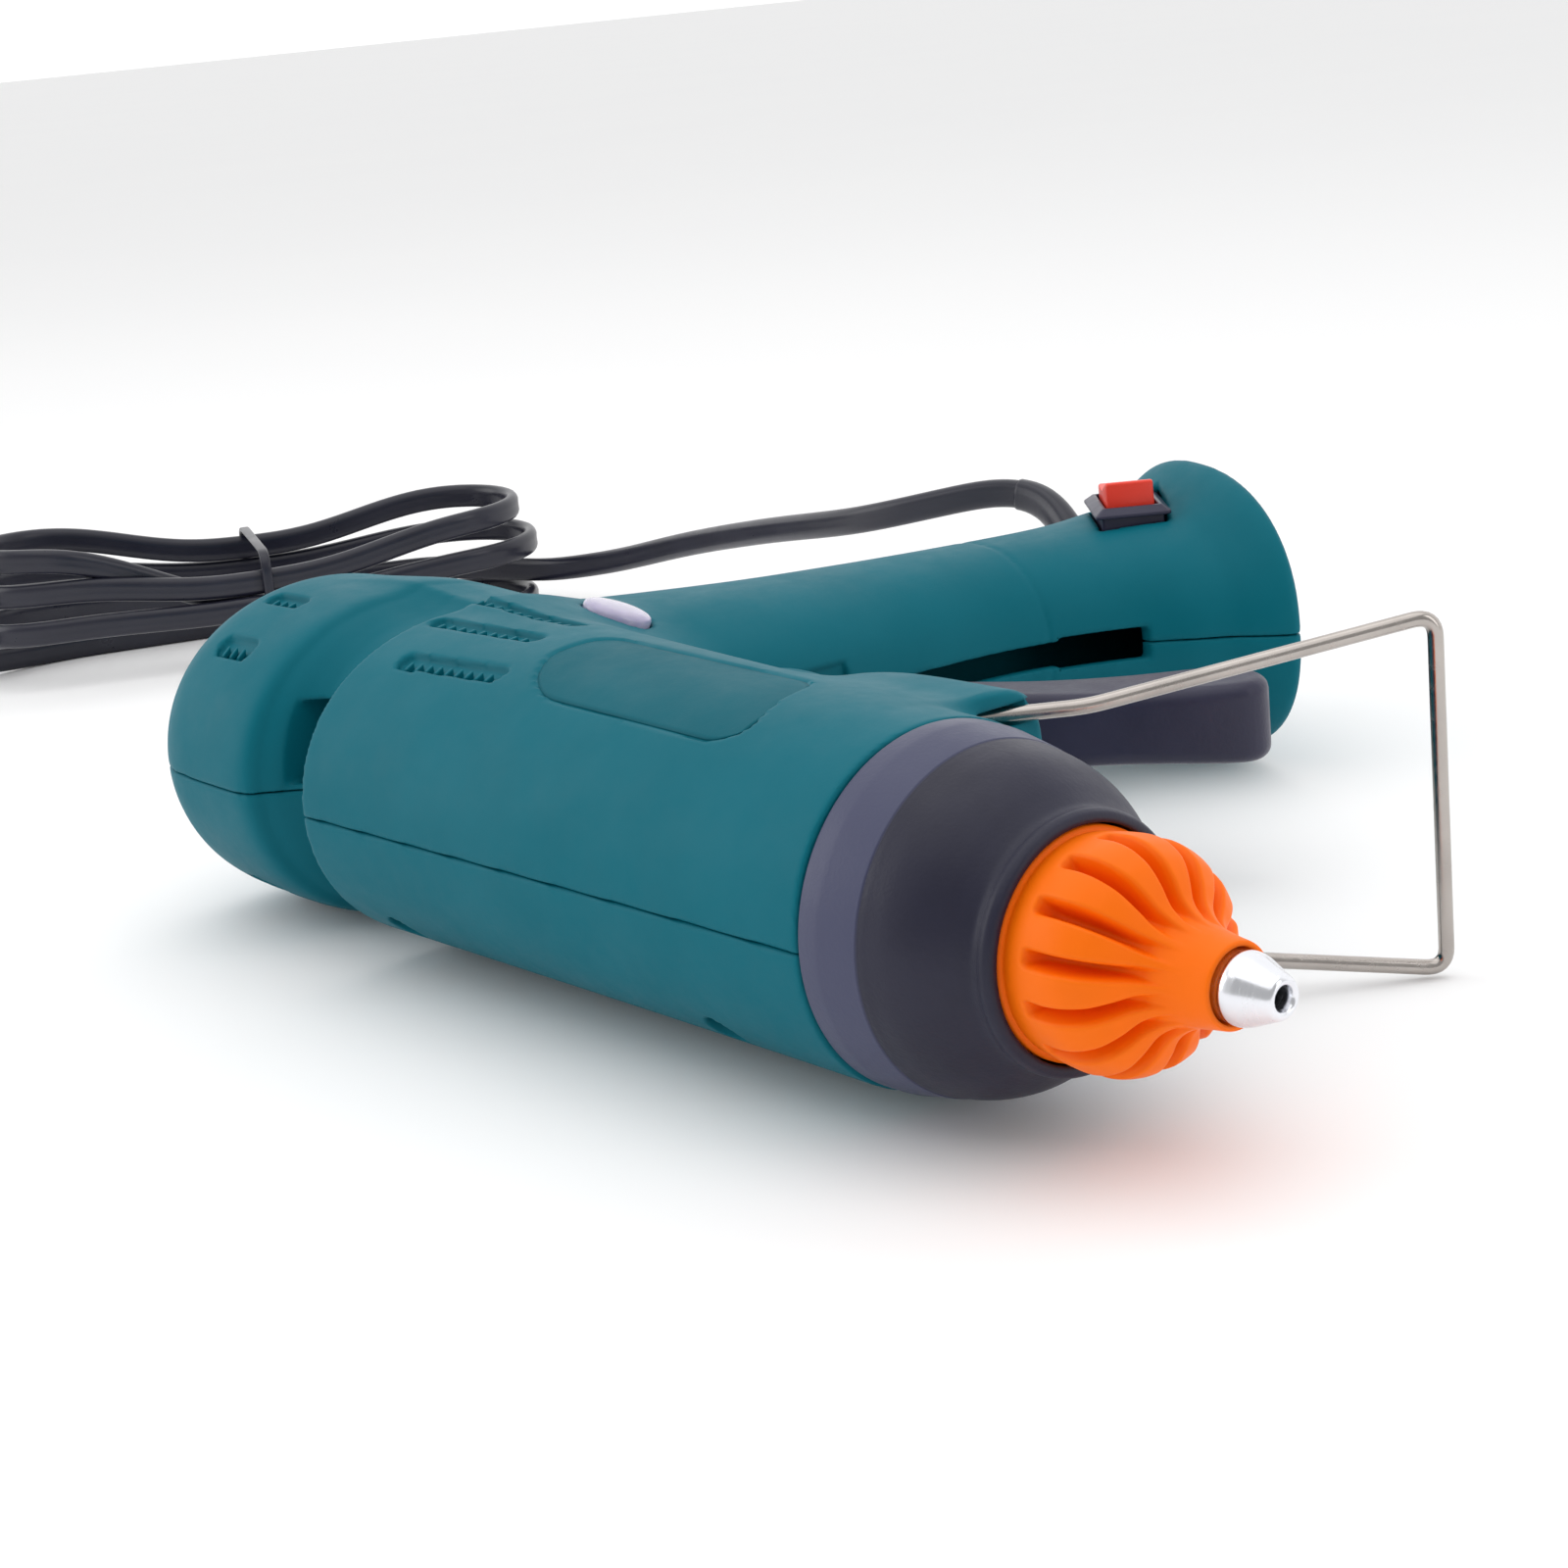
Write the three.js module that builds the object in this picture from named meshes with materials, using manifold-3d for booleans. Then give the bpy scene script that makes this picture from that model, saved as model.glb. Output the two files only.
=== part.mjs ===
// Hot-melt glue gun lying on its right side. Millimetres. +X is the nozzle's direction, +Y runs down the
// handle and +Z is the gun's left side, so the two shells part at z = 0. The x axis of the working frame
// is the glue stick's axis and x = 0 is the rear rim of the nose collar. At the end the whole gun is moved
// so that its origin is the bottom centre of its box, on the surface that it lies on.
import * as THREE from "three";
import { mergeVertices } from "three/addons/utils/BufferGeometryUtils.js";
import Module from "manifold-3d";

const wasm = await Module();
wasm.setup();

// Driving dimensions
const WALL = 2.6; // shell wall
const GAP = 0.3; // clearance between touching pieces
const SIDES = 24; // facets round the body
const RIM_R = 27.5; // collar and barrel radius where they meet
const BARREL_REAR = -130; // step where the barrel ends over the neck
const TAIL_END = -191;
const FLOOR_Z = -30.1; // surface under the tail and the butt
const STICK_R = 5.9; // bore for an 11 mm glue stick
const TRIGGER_PIVOT = [-92, 46];
const TRIGGER_HALF = 7.5;
const ARM_LENGTH = 32;
const ARM_LEAN = THREE.MathUtils.degToRad(12.5);
const BAIL_PIVOT = [-19, 23];
const BAIL_REACH = 73.3;
const BAIL_ANGLE = THREE.MathUtils.degToRad(55.1);
const WIRE_R = 1.25;
const LEG_Z = 20;
const BAIL_HALF = 28.7;
const SWITCH_CENTRE = [-113, 152.5];
const SWITCH_Z = 21.2;
const SWITCH_YAW = THREE.MathUtils.degToRad(52.4); // across the handle, the rocker's width
const ROCKER_WIDTH = 9.6;
const ROCKER_TILT = THREE.MathUtils.degToRad(10);
const CORD_WIDTH = 6.3;
const CORD_THICK = 3.9;
const SCREWS = [[-170, -20], [-117, -22], [-30, -19], [-40, 27.5], [-146, 64], [-131, 132]];
const LENS = [-122, 31.5]; // indicator beside the barrel's rear end
const VENT_HALF = 1.9;
const VENTS = [
  [[-118, -15], [-93, -13]], [[-126, -3], [-99.5, -1.2]], [[-131, 8.5], [-103, 10]],
  [[-173.6, -20.6], [-165.2, -20.4]], [[-175, -8.4], [-166.5, -8.2]],
];
const NAME_FIELD = [
  [-75, -19], [-30, -19], [-24.5, -15], [-33, 5.5], [-37, 7.5], [-86, 7.5], [-89, 4], [-89, -6], [-84, -14],
];
const SPRING_TURNS = 7;
const FLUTES = 14;
const CORD_EXIT = [-147, 173.5, 2];
const CORD_OUT = [-0.8, 0.2, 0.56];

const gun = new THREE.Group();

// Materials
const paint = (color, roughness, metalness = 0) =>
  new THREE.MeshStandardMaterial({ color, roughness, metalness });
const teal = paint(0x006e7d, 0.45);
const darkPlastic = paint(0x33313f, 0.5);
const trimPlastic = paint(0x3b394a, 0.45);
const orangeSilicone = paint(0xff6e00, 0.5);
const aluminium = paint(0xc9cbd0, 0.3, 1);
const nickel = paint(0xb9b2a8, 0.2, 1);
const redPlastic = paint(0xeb4132, 0.35);
const clearLens = paint(0xc9c0dc, 0.15);
const rubber = paint(0x17171b, 0.6);
const steel = paint(0x9a9ca0, 0.35, 1);
const ceramic = paint(0xd8d2c4, 0.7);
const siliconeGrey = paint(0xb9b6ae, 0.6);

// A closed geometry, moved by the matrix `place`, as a solid that can be joined and cut.
function solid(geometry, place = null) {
  const bare = new THREE.BufferGeometry();
  bare.setAttribute("position", geometry.getAttribute("position").clone());
  if (geometry.index) bare.setIndex(geometry.index.clone());
  if (place) bare.applyMatrix4(place);
  const merged = mergeVertices(bare, 1e-4);
  return new wasm.Manifold(new wasm.Mesh({
    numProp: 3,
    vertProperties: merged.attributes.position.array,
    triVerts: new Uint32Array(merged.index.array),
  }));
}

// A solid back as a named mesh of the gun.
function add(name, made, material) {
  const data = made.getMesh();
  const geometry = new THREE.BufferGeometry();
  geometry.setAttribute("position", new THREE.BufferAttribute(new Float32Array(data.vertProperties), 3));
  geometry.setIndex(new THREE.BufferAttribute(new Uint32Array(data.triVerts), 1));
  geometry.computeVertexNormals();
  const mesh = new THREE.Mesh(geometry, material);
  mesh.name = name;
  gun.add(mesh);
}

const joined = (solids) => solids.reduce((all, next) => all.add(next));

// A range of z, or its mirror image on the right side.
const onSide = (side, low, high) => (side > 0 ? [low, high] : [-high, -low]);

function box(x, y, z, place = null) {
  const geometry = new THREE.BoxGeometry(x[1] - x[0], y[1] - y[0], z[1] - z[0]);
  geometry.translate((x[0] + x[1]) / 2, (y[0] + y[1]) / 2, (z[0] + z[1]) / 2);
  return solid(geometry, place);
}

// A cylinder along Z through (x, y).
function post(x, y, radius, z, sides = 12) {
  const geometry = new THREE.CylinderGeometry(radius, radius, z[1] - z[0], sides);
  geometry.rotateX(Math.PI / 2);
  geometry.translate(x, y, (z[0] + z[1]) / 2);
  return solid(geometry);
}

// A profile of [x, radius] pairs turned round an axis parallel to X.
function turned(profile, sides = 24, y = 0, z = 0, place = null) {
  const points = profile.map(([x, r]) => new THREE.Vector2(r, x));
  points.push(points[0].clone());
  const geometry = new THREE.LatheGeometry(points, sides);
  geometry.rotateZ(-Math.PI / 2);
  geometry.translate(0, y, z);
  const made = solid(geometry, place);
  return made.volume() > 0 ? made : solid(flipped(geometry), place);
}

const tube = (x0, x1, inner, outer, sides = 16, y = 0, z = 0) =>
  turned([[x0, inner], [x1, inner], [x1, outer], [x0, outer]], sides, y, z);

const rod = (x0, x1, radius, sides = 16, y = 0, z = 0, place = null) =>
  turned([[x0, 0], [x0, radius], [x1, radius], [x1, 0]], sides, y, z, place);

function flipped(geometry) {
  const indexed = geometry.index ? geometry : mergeVertices(geometry);
  const order = Array.from(indexed.index.array);
  for (let i = 0; i < order.length; i += 3) [order[i + 1], order[i + 2]] = [order[i + 2], order[i + 1]];
  indexed.setIndex(order);
  return indexed;
}

// A plate with its outline in the XY plane, between two heights.
function plate(outline, z, bevel = 0) {
  const shape = new THREE.Shape(outline.map(([x, y]) => new THREE.Vector2(x, y)));
  const depth = z[1] - z[0] - 2 * bevel;
  const geometry = new THREE.ExtrudeGeometry(shape, {
    depth, bevelEnabled: bevel > 0, bevelSize: bevel, bevelThickness: bevel, bevelOffset: -bevel,
    bevelSegments: 1,
  });
  geometry.translate(0, 0, z[0] + bevel);
  return solid(geometry);
}

// A closed skin over rings that have the same number of points.
function loft(rings) {
  const count = rings[0].length;
  const positions = rings.flat().flatMap((p) => [p.x, p.y, p.z]);
  const index = [];
  for (let r = 0; r + 1 < rings.length; r++)
    for (let i = 0; i < count; i++) {
      const a = r * count + i;
      const b = r * count + (i + 1) % count;
      index.push(a, b, a + count, b, b + count, a + count);
    }
  for (const [r, turn] of [[0, 1], [rings.length - 1, 0]]) {
    const centre = new THREE.Vector3();
    rings[r].forEach((p) => centre.addScaledVector(p, 1 / count));
    const hub = positions.length / 3;
    positions.push(centre.x, centre.y, centre.z);
    for (let i = 0; i < count; i++) {
      const a = r * count + i;
      const b = r * count + (i + 1) % count;
      index.push(...(turn ? [hub, b, a] : [hub, a, b]));
    }
  }
  const geometry = new THREE.BufferGeometry();
  geometry.setAttribute("position", new THREE.Float32BufferAttribute(positions, 3));
  geometry.setIndex(index);
  const made = solid(geometry);
  return made.volume() > 0 ? made : solid(flipped(geometry));
}

// An oval ring: `front` and `back` are the half sizes along +u and -u, `half` the half size along Z.
function ring(x, y, u, front, back, half, power = 2.1) {
  return Array.from({ length: SIDES }, (_, i) => {
    const t = (i + 0.5) * 2 * Math.PI / SIDES;
    const c = Math.sign(Math.cos(t)) * Math.abs(Math.cos(t)) ** (2 / power);
    const s = Math.sign(Math.sin(t)) * Math.abs(Math.sin(t)) ** (2 / power);
    const reach = c * (c > 0 ? front : back);
    return new THREE.Vector3(x + u[0] * reach, y + u[1] * reach, s * half);
  });
}

// A tube of a flat or round section along a smooth path.
function swept(points, width, thick, sides, steps, place = null) {
  const path = new THREE.CatmullRomCurve3(points.map((p) => new THREE.Vector3(...p)), false, "centripetal");
  const shape = new THREE.Shape(Array.from({ length: sides }, (_, i) => {
    const t = (i + 0.5) * 2 * Math.PI / sides;
    return new THREE.Vector2(thick / 2 * Math.cos(t), width / 2 * Math.sin(t));
  }));
  return solid(new THREE.ExtrudeGeometry(shape, { steps, extrudePath: path, bevelEnabled: false }), place);
}

// The body's outer form, or with `inset` the hollow inside it.
const TOP = [0, -1];
function barrel(inset) {
  const stations = inset ? [BARREL_REAR + inset, -100, -65, -30, 6] : [BARREL_REAR, -100, -65, -30, -GAP];
  return loft(stations.map((x) => {
    const t = Math.min(1, Math.max(0, x / BARREL_REAR));
    const rise = RIM_R + 5.5 * t ** 1.2 + 3 * t;
    const side = RIM_R + 1.7 * t;
    const centre = 3 * t;
    return ring(x, centre, TOP, rise - inset, rise - inset, side - inset);
  }));
}

function rearBody(inset) {
  const stations = [
    [TAIL_END + inset, 26, 22], [-189 + inset, 30.5, 26], [-184, 33.5, 29], [-176, 35, 30.45],
    [-155, 35.6, 30.45], [-150, 32, 29.8], [-145.5, 27, 29.3], [-141, 24.6, 29.2],
    [BARREL_REAR + 1 + 2 * inset, 24.6, 29],
  ];
  return loft(stations.map(([x, rise, side]) =>
    ring(x, 3, TOP, rise - inset, 34 - inset, side - inset, 2.05)));
}

function handle(inset) {
  const stations = [
    [-144, 18, 0, 34, 27], [-138, 36, 0, 34, 23.5], [-132, 66, 2, 28, 20.8], [-129, 90, 5, 25, 19.6],
    [-124, 115, 10, 23, 19.2], [-117.5, 138, 15, 26, 19.8], [-113, 152, 19, 33, 22],
    [-110.5, 160, 21, 39.5, 26.5], [-109, 165, 21, 43, 30.6], [-108, 167.5, 21, 43.5, 31],
    [-107.3, 169.5, 21, 42.5, 30.2],
  ];
  const kept = inset ? stations.slice(0, -1) : stations;
  const last = kept.length - 1;
  return loft(kept.map(([x, y, lean, deep, side], i) => {
    const turn = THREE.MathUtils.degToRad(lean);
    const back = inset && i === last ? inset : 0;
    const along = [Math.sin(turn), Math.cos(turn)];
    const centre = [x - back * along[0], y - back * along[1]];
    return ring(...centre, [Math.cos(turn), -Math.sin(turn)], deep - inset, deep - inset, side - inset, 2.3);
  }));
}

function chin(inset) {
  const stations = [[-62, 26, 16], [-54, 31.5, 21.5], [-40, 33, 23], [-15, 33, 23]];
  return loft(stations.map(([x, drop, side], i) => {
    const end = inset * (i === 0 ? 1 : i === stations.length - 1 ? -1 : 0);
    return ring(x + end, 8, [0, 1], drop - 8 - inset, 16, side - inset, 6);
  }));
}

function cradle(inset) {
  const stations = [[22, 15, 13.5], [40, 14, 13], [50, 13, 12.5], [54, 10, 10.5]];
  return loft(stations.map(([y, deep, side], i) =>
    ring(-94, y - (i === 3 ? inset : 0), [1, 0], deep - inset, deep - inset, side - inset, 3)));
}

const bodyForms = (inset) => joined([barrel, rearBody, handle, chin, cradle].map((form) => form(inset)));

function turnedInPlane(geometry, centre, yaw) {
  geometry.rotateZ(yaw);
  geometry.translate(...centre);
  return solid(geometry);
}

const switchBlock = (wide, long, z) => turnedInPlane(
  new THREE.BoxGeometry(wide, long, z[1] - z[0]), [...SWITCH_CENTRE, (z[0] + z[1]) / 2], SWITCH_YAW);

// A rod along the cord's way out of the handle, measured from the wall.
function glandBore(radius, from, to) {
  const geometry = new THREE.CylinderGeometry(radius, radius, to - from, 12);
  geometry.rotateX(Math.PI / 2);
  geometry.translate(0, 0, (from + to) / 2);
  const out = new THREE.Vector3(...CORD_OUT).normalize();
  geometry.applyQuaternion(new THREE.Quaternion().setFromUnitVectors(new THREE.Vector3(0, 0, 1), out));
  geometry.translate(...CORD_EXIT);
  return solid(geometry);
}

// Ribs, bosses and seats inside the shells
function innerForms() {
  const forms = [switchBlock(19, 26, [8, SWITCH_Z]), glandBore(7, -8, 10)];
  for (const side of [-1, 1]) {
    forms.push(box([-126, -76], [-4, 4], onSide(side, 11.2, 27)));
    forms.push(box([-26, -15], [20, 33], onSide(side, 12.5, 23)));
    forms.push(post(...TRIGGER_PIVOT, 5.5, onSide(side, TRIGGER_HALF + 0.9, 13)));
  }
  for (const x of [-187, -150, -124]) forms.push(tube(x, x + 2.5, 7.9, 24));
  for (const x of [-63, -22]) forms.push(tube(x, x + 2.5, 9.9, 26));
  for (const [x, y] of SCREWS) forms.push(post(x, y, 3.9, [-32, 32], 10));
  return joined(forms);
}

// A slot with round ends between two points, as an outline.
function slotOutline([x0, y0], [x1, y1], halfWidth) {
  const angle = Math.atan2(y1 - y0, x1 - x0);
  const end = (x, y, first) => Array.from({ length: 4 }, (_, i) => {
    const t = angle + first + i * Math.PI / 3;
    return [x + halfWidth * Math.cos(t), y + halfWidth * Math.sin(t)];
  });
  return [...end(x1, y1, -Math.PI / 2), ...end(x0, y0, Math.PI / 2)];
}

// Holes through the walls
function openings() {
  const cuts = [
    rod(TAIL_END - 5, -120, 7.9, 16),
    rod(-12, 8, 12, 20),
    switchBlock(17, 23.4, [SWITCH_Z, 40]),
    switchBlock(13.6, 19.6, [0, 30]),
    glandBore(4.4, -20, 30),
    glandBore(6, 0.5, 2.9),
    box([-106, -70], [37, 70], [-TRIGGER_HALF - 0.6, TRIGGER_HALF + 0.6]),
    box([-106, -82], [6, 40], [-6.5, 6.5]),
    plate([[-114, 84], [-98, 84], [-90, 110], [-82, 131], [-108, 131]], [-2.6, 2.6]),
    box([-70, -10], [7, 18.5], [-6, 6]),
    box([-56, -40], [-15.5, -8], [-7.4, 7.4]),
    box([-66, -58], [10, 24], [-19, 19]),
    post(...LENS, 5.6, [20, 40], 16),
    post(...LENS, 3.4, [10, 40], 12),
  ];
  for (const side of [-1, 1]) {
    cuts.push(box([-147, -133], [-34, -8], onSide(side, 3, 17)));
    cuts.push(box([-25, -14], [20.8, 36], onSide(side, LEG_Z - 1.8, LEG_Z + 1.8)));
    cuts.push(post(...BAIL_PIVOT, 1.7, onSide(side, 13, LEG_Z)));
    cuts.push(post(...TRIGGER_PIVOT, 2.2, onSide(side, 0, 12)));
  }
  for (const [x, y] of SCREWS) {
    cuts.push(post(x, y, 1.5, [-12, 14], 8));
    cuts.push(post(x, y, 3.2, [-40, -9], 10));
  }
  return joined(cuts);
}

// Shallow recesses that follow the outer skin: the vents and the nameplate field, which is left blank
function recesses(outer) {
  const vents = joined([-1, 1].flatMap((side) =>
    VENTS.map(([from, to]) => plate(slotOutline(from, to, VENT_HALF), onSide(side, 10, 40)))));
  const field = plate(NAME_FIELD, [10, 40]);
  return vents.intersect(outer.subtract(bodyForms(1.2))).add(field.intersect(outer.subtract(bodyForms(0.5))));
}

function bodySolid() {
  const outer = bodyForms(0);
  const walls = outer.subtract(bodyForms(WALL)).add(innerForms().intersect(outer));
  const restFaces = box([-200, 0], [-60, 200], [FLOOR_Z - 5, FLOOR_Z]);
  return walls.subtract(openings()).subtract(recesses(outer)).subtract(restFaces);
}

const body = bodySolid();
const shellHalf = (side) => body.intersect(box([-300, 100], [-100, 300], onSide(side, GAP / 2, 60)));
const largest = (made) => made.decompose().sort((a, b) => b.volume() - a.volume())[0];
add("left_shell", largest(shellHalf(1)), teal);
add("right_shell", largest(shellHalf(-1)), teal);

for (const [i, [x, y]] of SCREWS.entries()) {
  const screw = post(x, y, 2.7, [-11.6, -9.3], 10).add(post(x, y, 1.15, [-9.5, 12], 6));
  add(`shell_screw_${i + 1}`, screw.subtract(box([x - 2, x + 2], [y - 0.4, y + 0.4], [-12, -10.6])), steel);
}

// Nose: collar, heat shield, silicone cover and nozzle
add("nose_collar", turned([
  [-8, 22.6], [-8, 24.4], [0, 24.4], [0, 27.5], [4, 27.4], [11, 26.0], [16, 24.9], [21, 23], [25, 20.8],
  [27, 19.4], [28.6, 19.6], [30, 18.7], [30, 17.6], [25.6, 17.6], [25.6, 14.2], [22.5, 14.2], [22.5, 19],
  [16, 22], [8, 22.6],
], 28), darkPlastic);
add("heat_shield", tube(-9, 25.2, 12.4, 13.8, 20), steel);

function nozzleCover() {
  const core = turned(
    [[26, 0], [26, 14.2], [33.5, 13.6], [39, 11], [45, 8.4], [50, 6.9], [58, 6.3], [58, 0]], 28);
  const form = turned([
    [26, 9.5], [26, 17.2], [29.7, 17.2], [29.7, 16.2], [31.5, 16.6], [36, 17.4], [40, 17.1], [43.2, 15.4],
    [45.5, 12.6], [47.5, 9.4], [50, 7.4], [54, 6.4], [57.5, 6.1], [57.5, 5.35], [35.5, 5.35], [33.5, 9.5],
  ], 28);
  const flutes = joined(Array.from({ length: FLUTES }, (_, i) => {
    const geometry = new THREE.BoxGeometry(16.5, 14, 2.4);
    geometry.translate(34.5 + 8.25, 16, 0);
    geometry.rotateX((i + 0.5) * 2 * Math.PI / FLUTES);
    return solid(geometry);
  }));
  return form.subtract(flutes.subtract(core));
}
add("nozzle_cover", nozzleCover(), orangeSilicone);

function nozzle() {
  const hex = solid(new THREE.CylinderGeometry(7.2, 7.2, 6, 6).rotateZ(-Math.PI / 2).translate(29.6, 0, 0));
  const stem = rod(29, 58.2, 4.9, 20);
  const tip = turned([[58, 0], [58, 4.9], [58.8, 5.1], [60.5, 4.6], [65, 2.7], [65.7, 2.3], [65.7, 0]], 20);
  return joined([hex, stem, tip]).subtract(rod(20, 60, 2.2, 12)).subtract(rod(55, 70, 1.4, 12));
}
add("nozzle", nozzle(), aluminium);

// Melting end
function meltChamber() {
  const block = joined([
    rod(-61, 26, 9.5, 20), box([-50, -12], [4, 17.8], [-5, 5]), box([-54, -42], [-11.6, -4], [-5, 5]),
  ]);
  const bore = turned([[-70, 0], [-70, STICK_R], [7.5, STICK_R], [18, 1.8], [30, 1.8], [30, 0]], 16);
  return block.subtract(bore).subtract(rod(-60, 0, 3.3, 12, 13.2));
}
add("melt_chamber", meltChamber(), aluminium);
add("heater_cartridge", rod(-55, -13, 3, 12, 13.2), steel);
add("thermal_fuse", box([-53, -43], [-15, -11.9], [-3.4, 3.4]), ceramic);
add("inlet_sleeve", tube(-66, -61.3, STICK_R, 9.2).add(tube(-66, -64.2, 9, 11.5)), siliconeGrey);

const wireShape = (radius, sides) => new THREE.Shape(Array.from({ length: sides }, (_, i) => {
  const t = i * 2 * Math.PI / sides;
  return new THREE.Vector2(radius * Math.cos(t), radius * Math.sin(t));
}));

// Stick feed
add("guide_tube", tube(TAIL_END + 0.4, -120, 6.2, 7.6), trimPlastic);
const armEnd = [
  TRIGGER_PIVOT[0] - ARM_LENGTH * Math.sin(ARM_LEAN),
  TRIGGER_PIVOT[1] - ARM_LENGTH * Math.cos(ARM_LEAN),
];
function feedCarriage() {
  const x = armEnd[0];
  const lugs = [-1, 1].map((side) => box([x - 4, x + 3], [7, armEnd[1] + 3], onSide(side, 3.3, 5.6)));
  const pin = post(...armEnd, 1.7, [-5.6, 5.6]);
  const form = joined([tube(x - 14, x + 3, 6.2, 10.2), ...lugs, pin]);
  return form.subtract(box([x - 9.3, x - 2.7], [-12, -5], [-3.3, 3.3]));
}
add("feed_carriage", feedCarriage(), trimPlastic);
add("stick_clamp", box([armEnd[0] - 9, armEnd[0] - 3], [-12.6, -6.6], [-3, 3]), steel);

function returnSpring() {
  const start = armEnd[0] + 3.4;
  const length = -66.4 - start;
  class Coil extends THREE.Curve {
    getPoint(t, target = new THREE.Vector3()) {
      const turn = t * SPRING_TURNS * 2 * Math.PI;
      return target.set(start + 0.6 + t * (length - 1.2), 8.3 * Math.cos(turn), 8.3 * Math.sin(turn));
    }
  }
  const settings = { steps: SPRING_TURNS * 8, extrudePath: new Coil(), bevelEnabled: false };
  return solid(new THREE.ExtrudeGeometry(wireShape(0.5, 5), settings));
}
add("return_spring", returnSpring(), steel);

// Trigger: a channel section lever with a forked arm above its pivot
function trigger() {
  const outline = [
    [-97, 50], [-94.5, 64], [-80, 75.5], [-66, 86.5], [-54, 96.5], [-45, 106], [-38, 107.5], [-32.5, 105],
    [-31, 99.5], [-36, 93], [-50, 81], [-64, 69.5], [-76, 59], [-84, 47], [-87, 41],
  ];
  const form = plate(outline, [-TRIGGER_HALF, TRIGGER_HALF], 1.2);
  const inside = plate(outline.map(([x, y]) => [x - 2.6, y + 2.4]),
    [-TRIGGER_HALF + 1.8, TRIGGER_HALF - 1.8]);
  const hub = post(...TRIGGER_PIVOT, 6, [-TRIGGER_HALF, TRIGGER_HALF], 16);
  const web = plate(
    [[-93, 50], [-86, 66], [-60, 89], [-46, 99], [-40, 97], [-78, 59], [-86, 46]], [-1.2, 1.2]);
  const towards = [-Math.sin(ARM_LEAN), -Math.cos(ARM_LEAN)];
  const across = [-towards[1], towards[0]];
  const at = (a, c) => [0, 1].map((k) => TRIGGER_PIVOT[k] + a * towards[k] + c * across[k]);
  const arm = plate([at(0, -4.6), at(0, 4.6), at(ARM_LENGTH + 2.6, 4.6), at(ARM_LENGTH + 2.6, 2.15),
    at(ARM_LENGTH - 4, 2.15), at(ARM_LENGTH - 4, -2.15), at(ARM_LENGTH + 2.6, -2.15),
    at(ARM_LENGTH + 2.6, -4.6)], [-2.9, 2.9]);
  return form.subtract(inside).add(joined([hub, web, arm])).subtract(post(...TRIGGER_PIVOT, 2.2, [-20, 20]));
}
add("trigger", trigger(), trimPlastic);
add("trigger_pin", post(...TRIGGER_PIVOT, 1.9, [-11.6, 11.6]), steel);

// Wire stand
function wireStand() {
  const along = [Math.cos(BAIL_ANGLE), Math.sin(BAIL_ANGLE)];
  const at = (reach, z) => [BAIL_PIVOT[0] + reach * along[0], BAIL_PIVOT[1] + reach * along[1], z];
  const legs = [at(0, 14.2), at(0, LEG_Z), at(19, LEG_Z), at(BAIL_REACH, BAIL_HALF)];
  const corners = [...legs, ...legs.slice().reverse().map(([x, y, z]) => [x, y, -z])];
  const bends = [0, 1.8, 8, 4, 4, 8, 1.8, 0];
  const path = new THREE.CurvePath();
  const points = corners.map((p) => new THREE.Vector3(...p));
  let last = points[0];
  for (let i = 1; i < points.length - 1; i++) {
    const before = points[i].clone().lerp(points[i - 1], bends[i] / points[i].distanceTo(points[i - 1]));
    const after = points[i].clone().lerp(points[i + 1], bends[i] / points[i].distanceTo(points[i + 1]));
    path.add(new THREE.LineCurve3(last, before));
    path.add(new THREE.QuadraticBezierCurve3(before, points[i], after));
    last = after;
  }
  path.add(new THREE.LineCurve3(last, points[points.length - 1]));
  const settings = { steps: 48, extrudePath: path, bevelEnabled: false };
  return solid(new THREE.ExtrudeGeometry(wireShape(WIRE_R, 7), settings));
}
add("wire_stand", wireStand(), nickel);

// Indicator
add("indicator_lens", post(...LENS, 5.2, [20.4, 24.2], 16).add(post(...LENS, 3, [17, 21])), clearLens);
add("indicator_lamp", post(...LENS, 2.2, [10, 16.6]), clearLens);

// Rocker switch
function switchHousing() {
  const bezel = switchBlock(15.2, 21.2, [SWITCH_Z + GAP, SWITCH_Z + 2.2]);
  const can = switchBlock(12.6, 18.6, [9, SWITCH_Z + 1]);
  return bezel.add(can).subtract(switchBlock(10.4, 16.4, [14, 40]));
}
add("switch_housing", switchHousing(), darkPlastic);

function switchRocker() {
  // The profile runs along the rocker's length. At rest its end nearer the barrel stands up.
  const profile = [
    [-6.4, -1.5], [-6.9, 5.2], [-5.8, 5.5], [0, 4], [5.8, 5.5], [6.9, 5.2], [6.4, -1.5], [0, -3.2],
  ];
  const shape = new THREE.Shape(profile.map(([x, y]) => new THREE.Vector2(x, y)));
  const geometry = new THREE.ExtrudeGeometry(shape, { depth: ROCKER_WIDTH, bevelEnabled: false });
  geometry.translate(0, 0, -ROCKER_WIDTH / 2);
  geometry.rotateX(Math.PI / 2);
  geometry.rotateZ(Math.PI / 2);
  geometry.rotateX(-ROCKER_TILT);
  return turnedInPlane(geometry, [...SWITCH_CENTRE, SWITCH_Z + GAP], SWITCH_YAW);
}
add("switch_rocker", switchRocker(), redPlastic);

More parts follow.
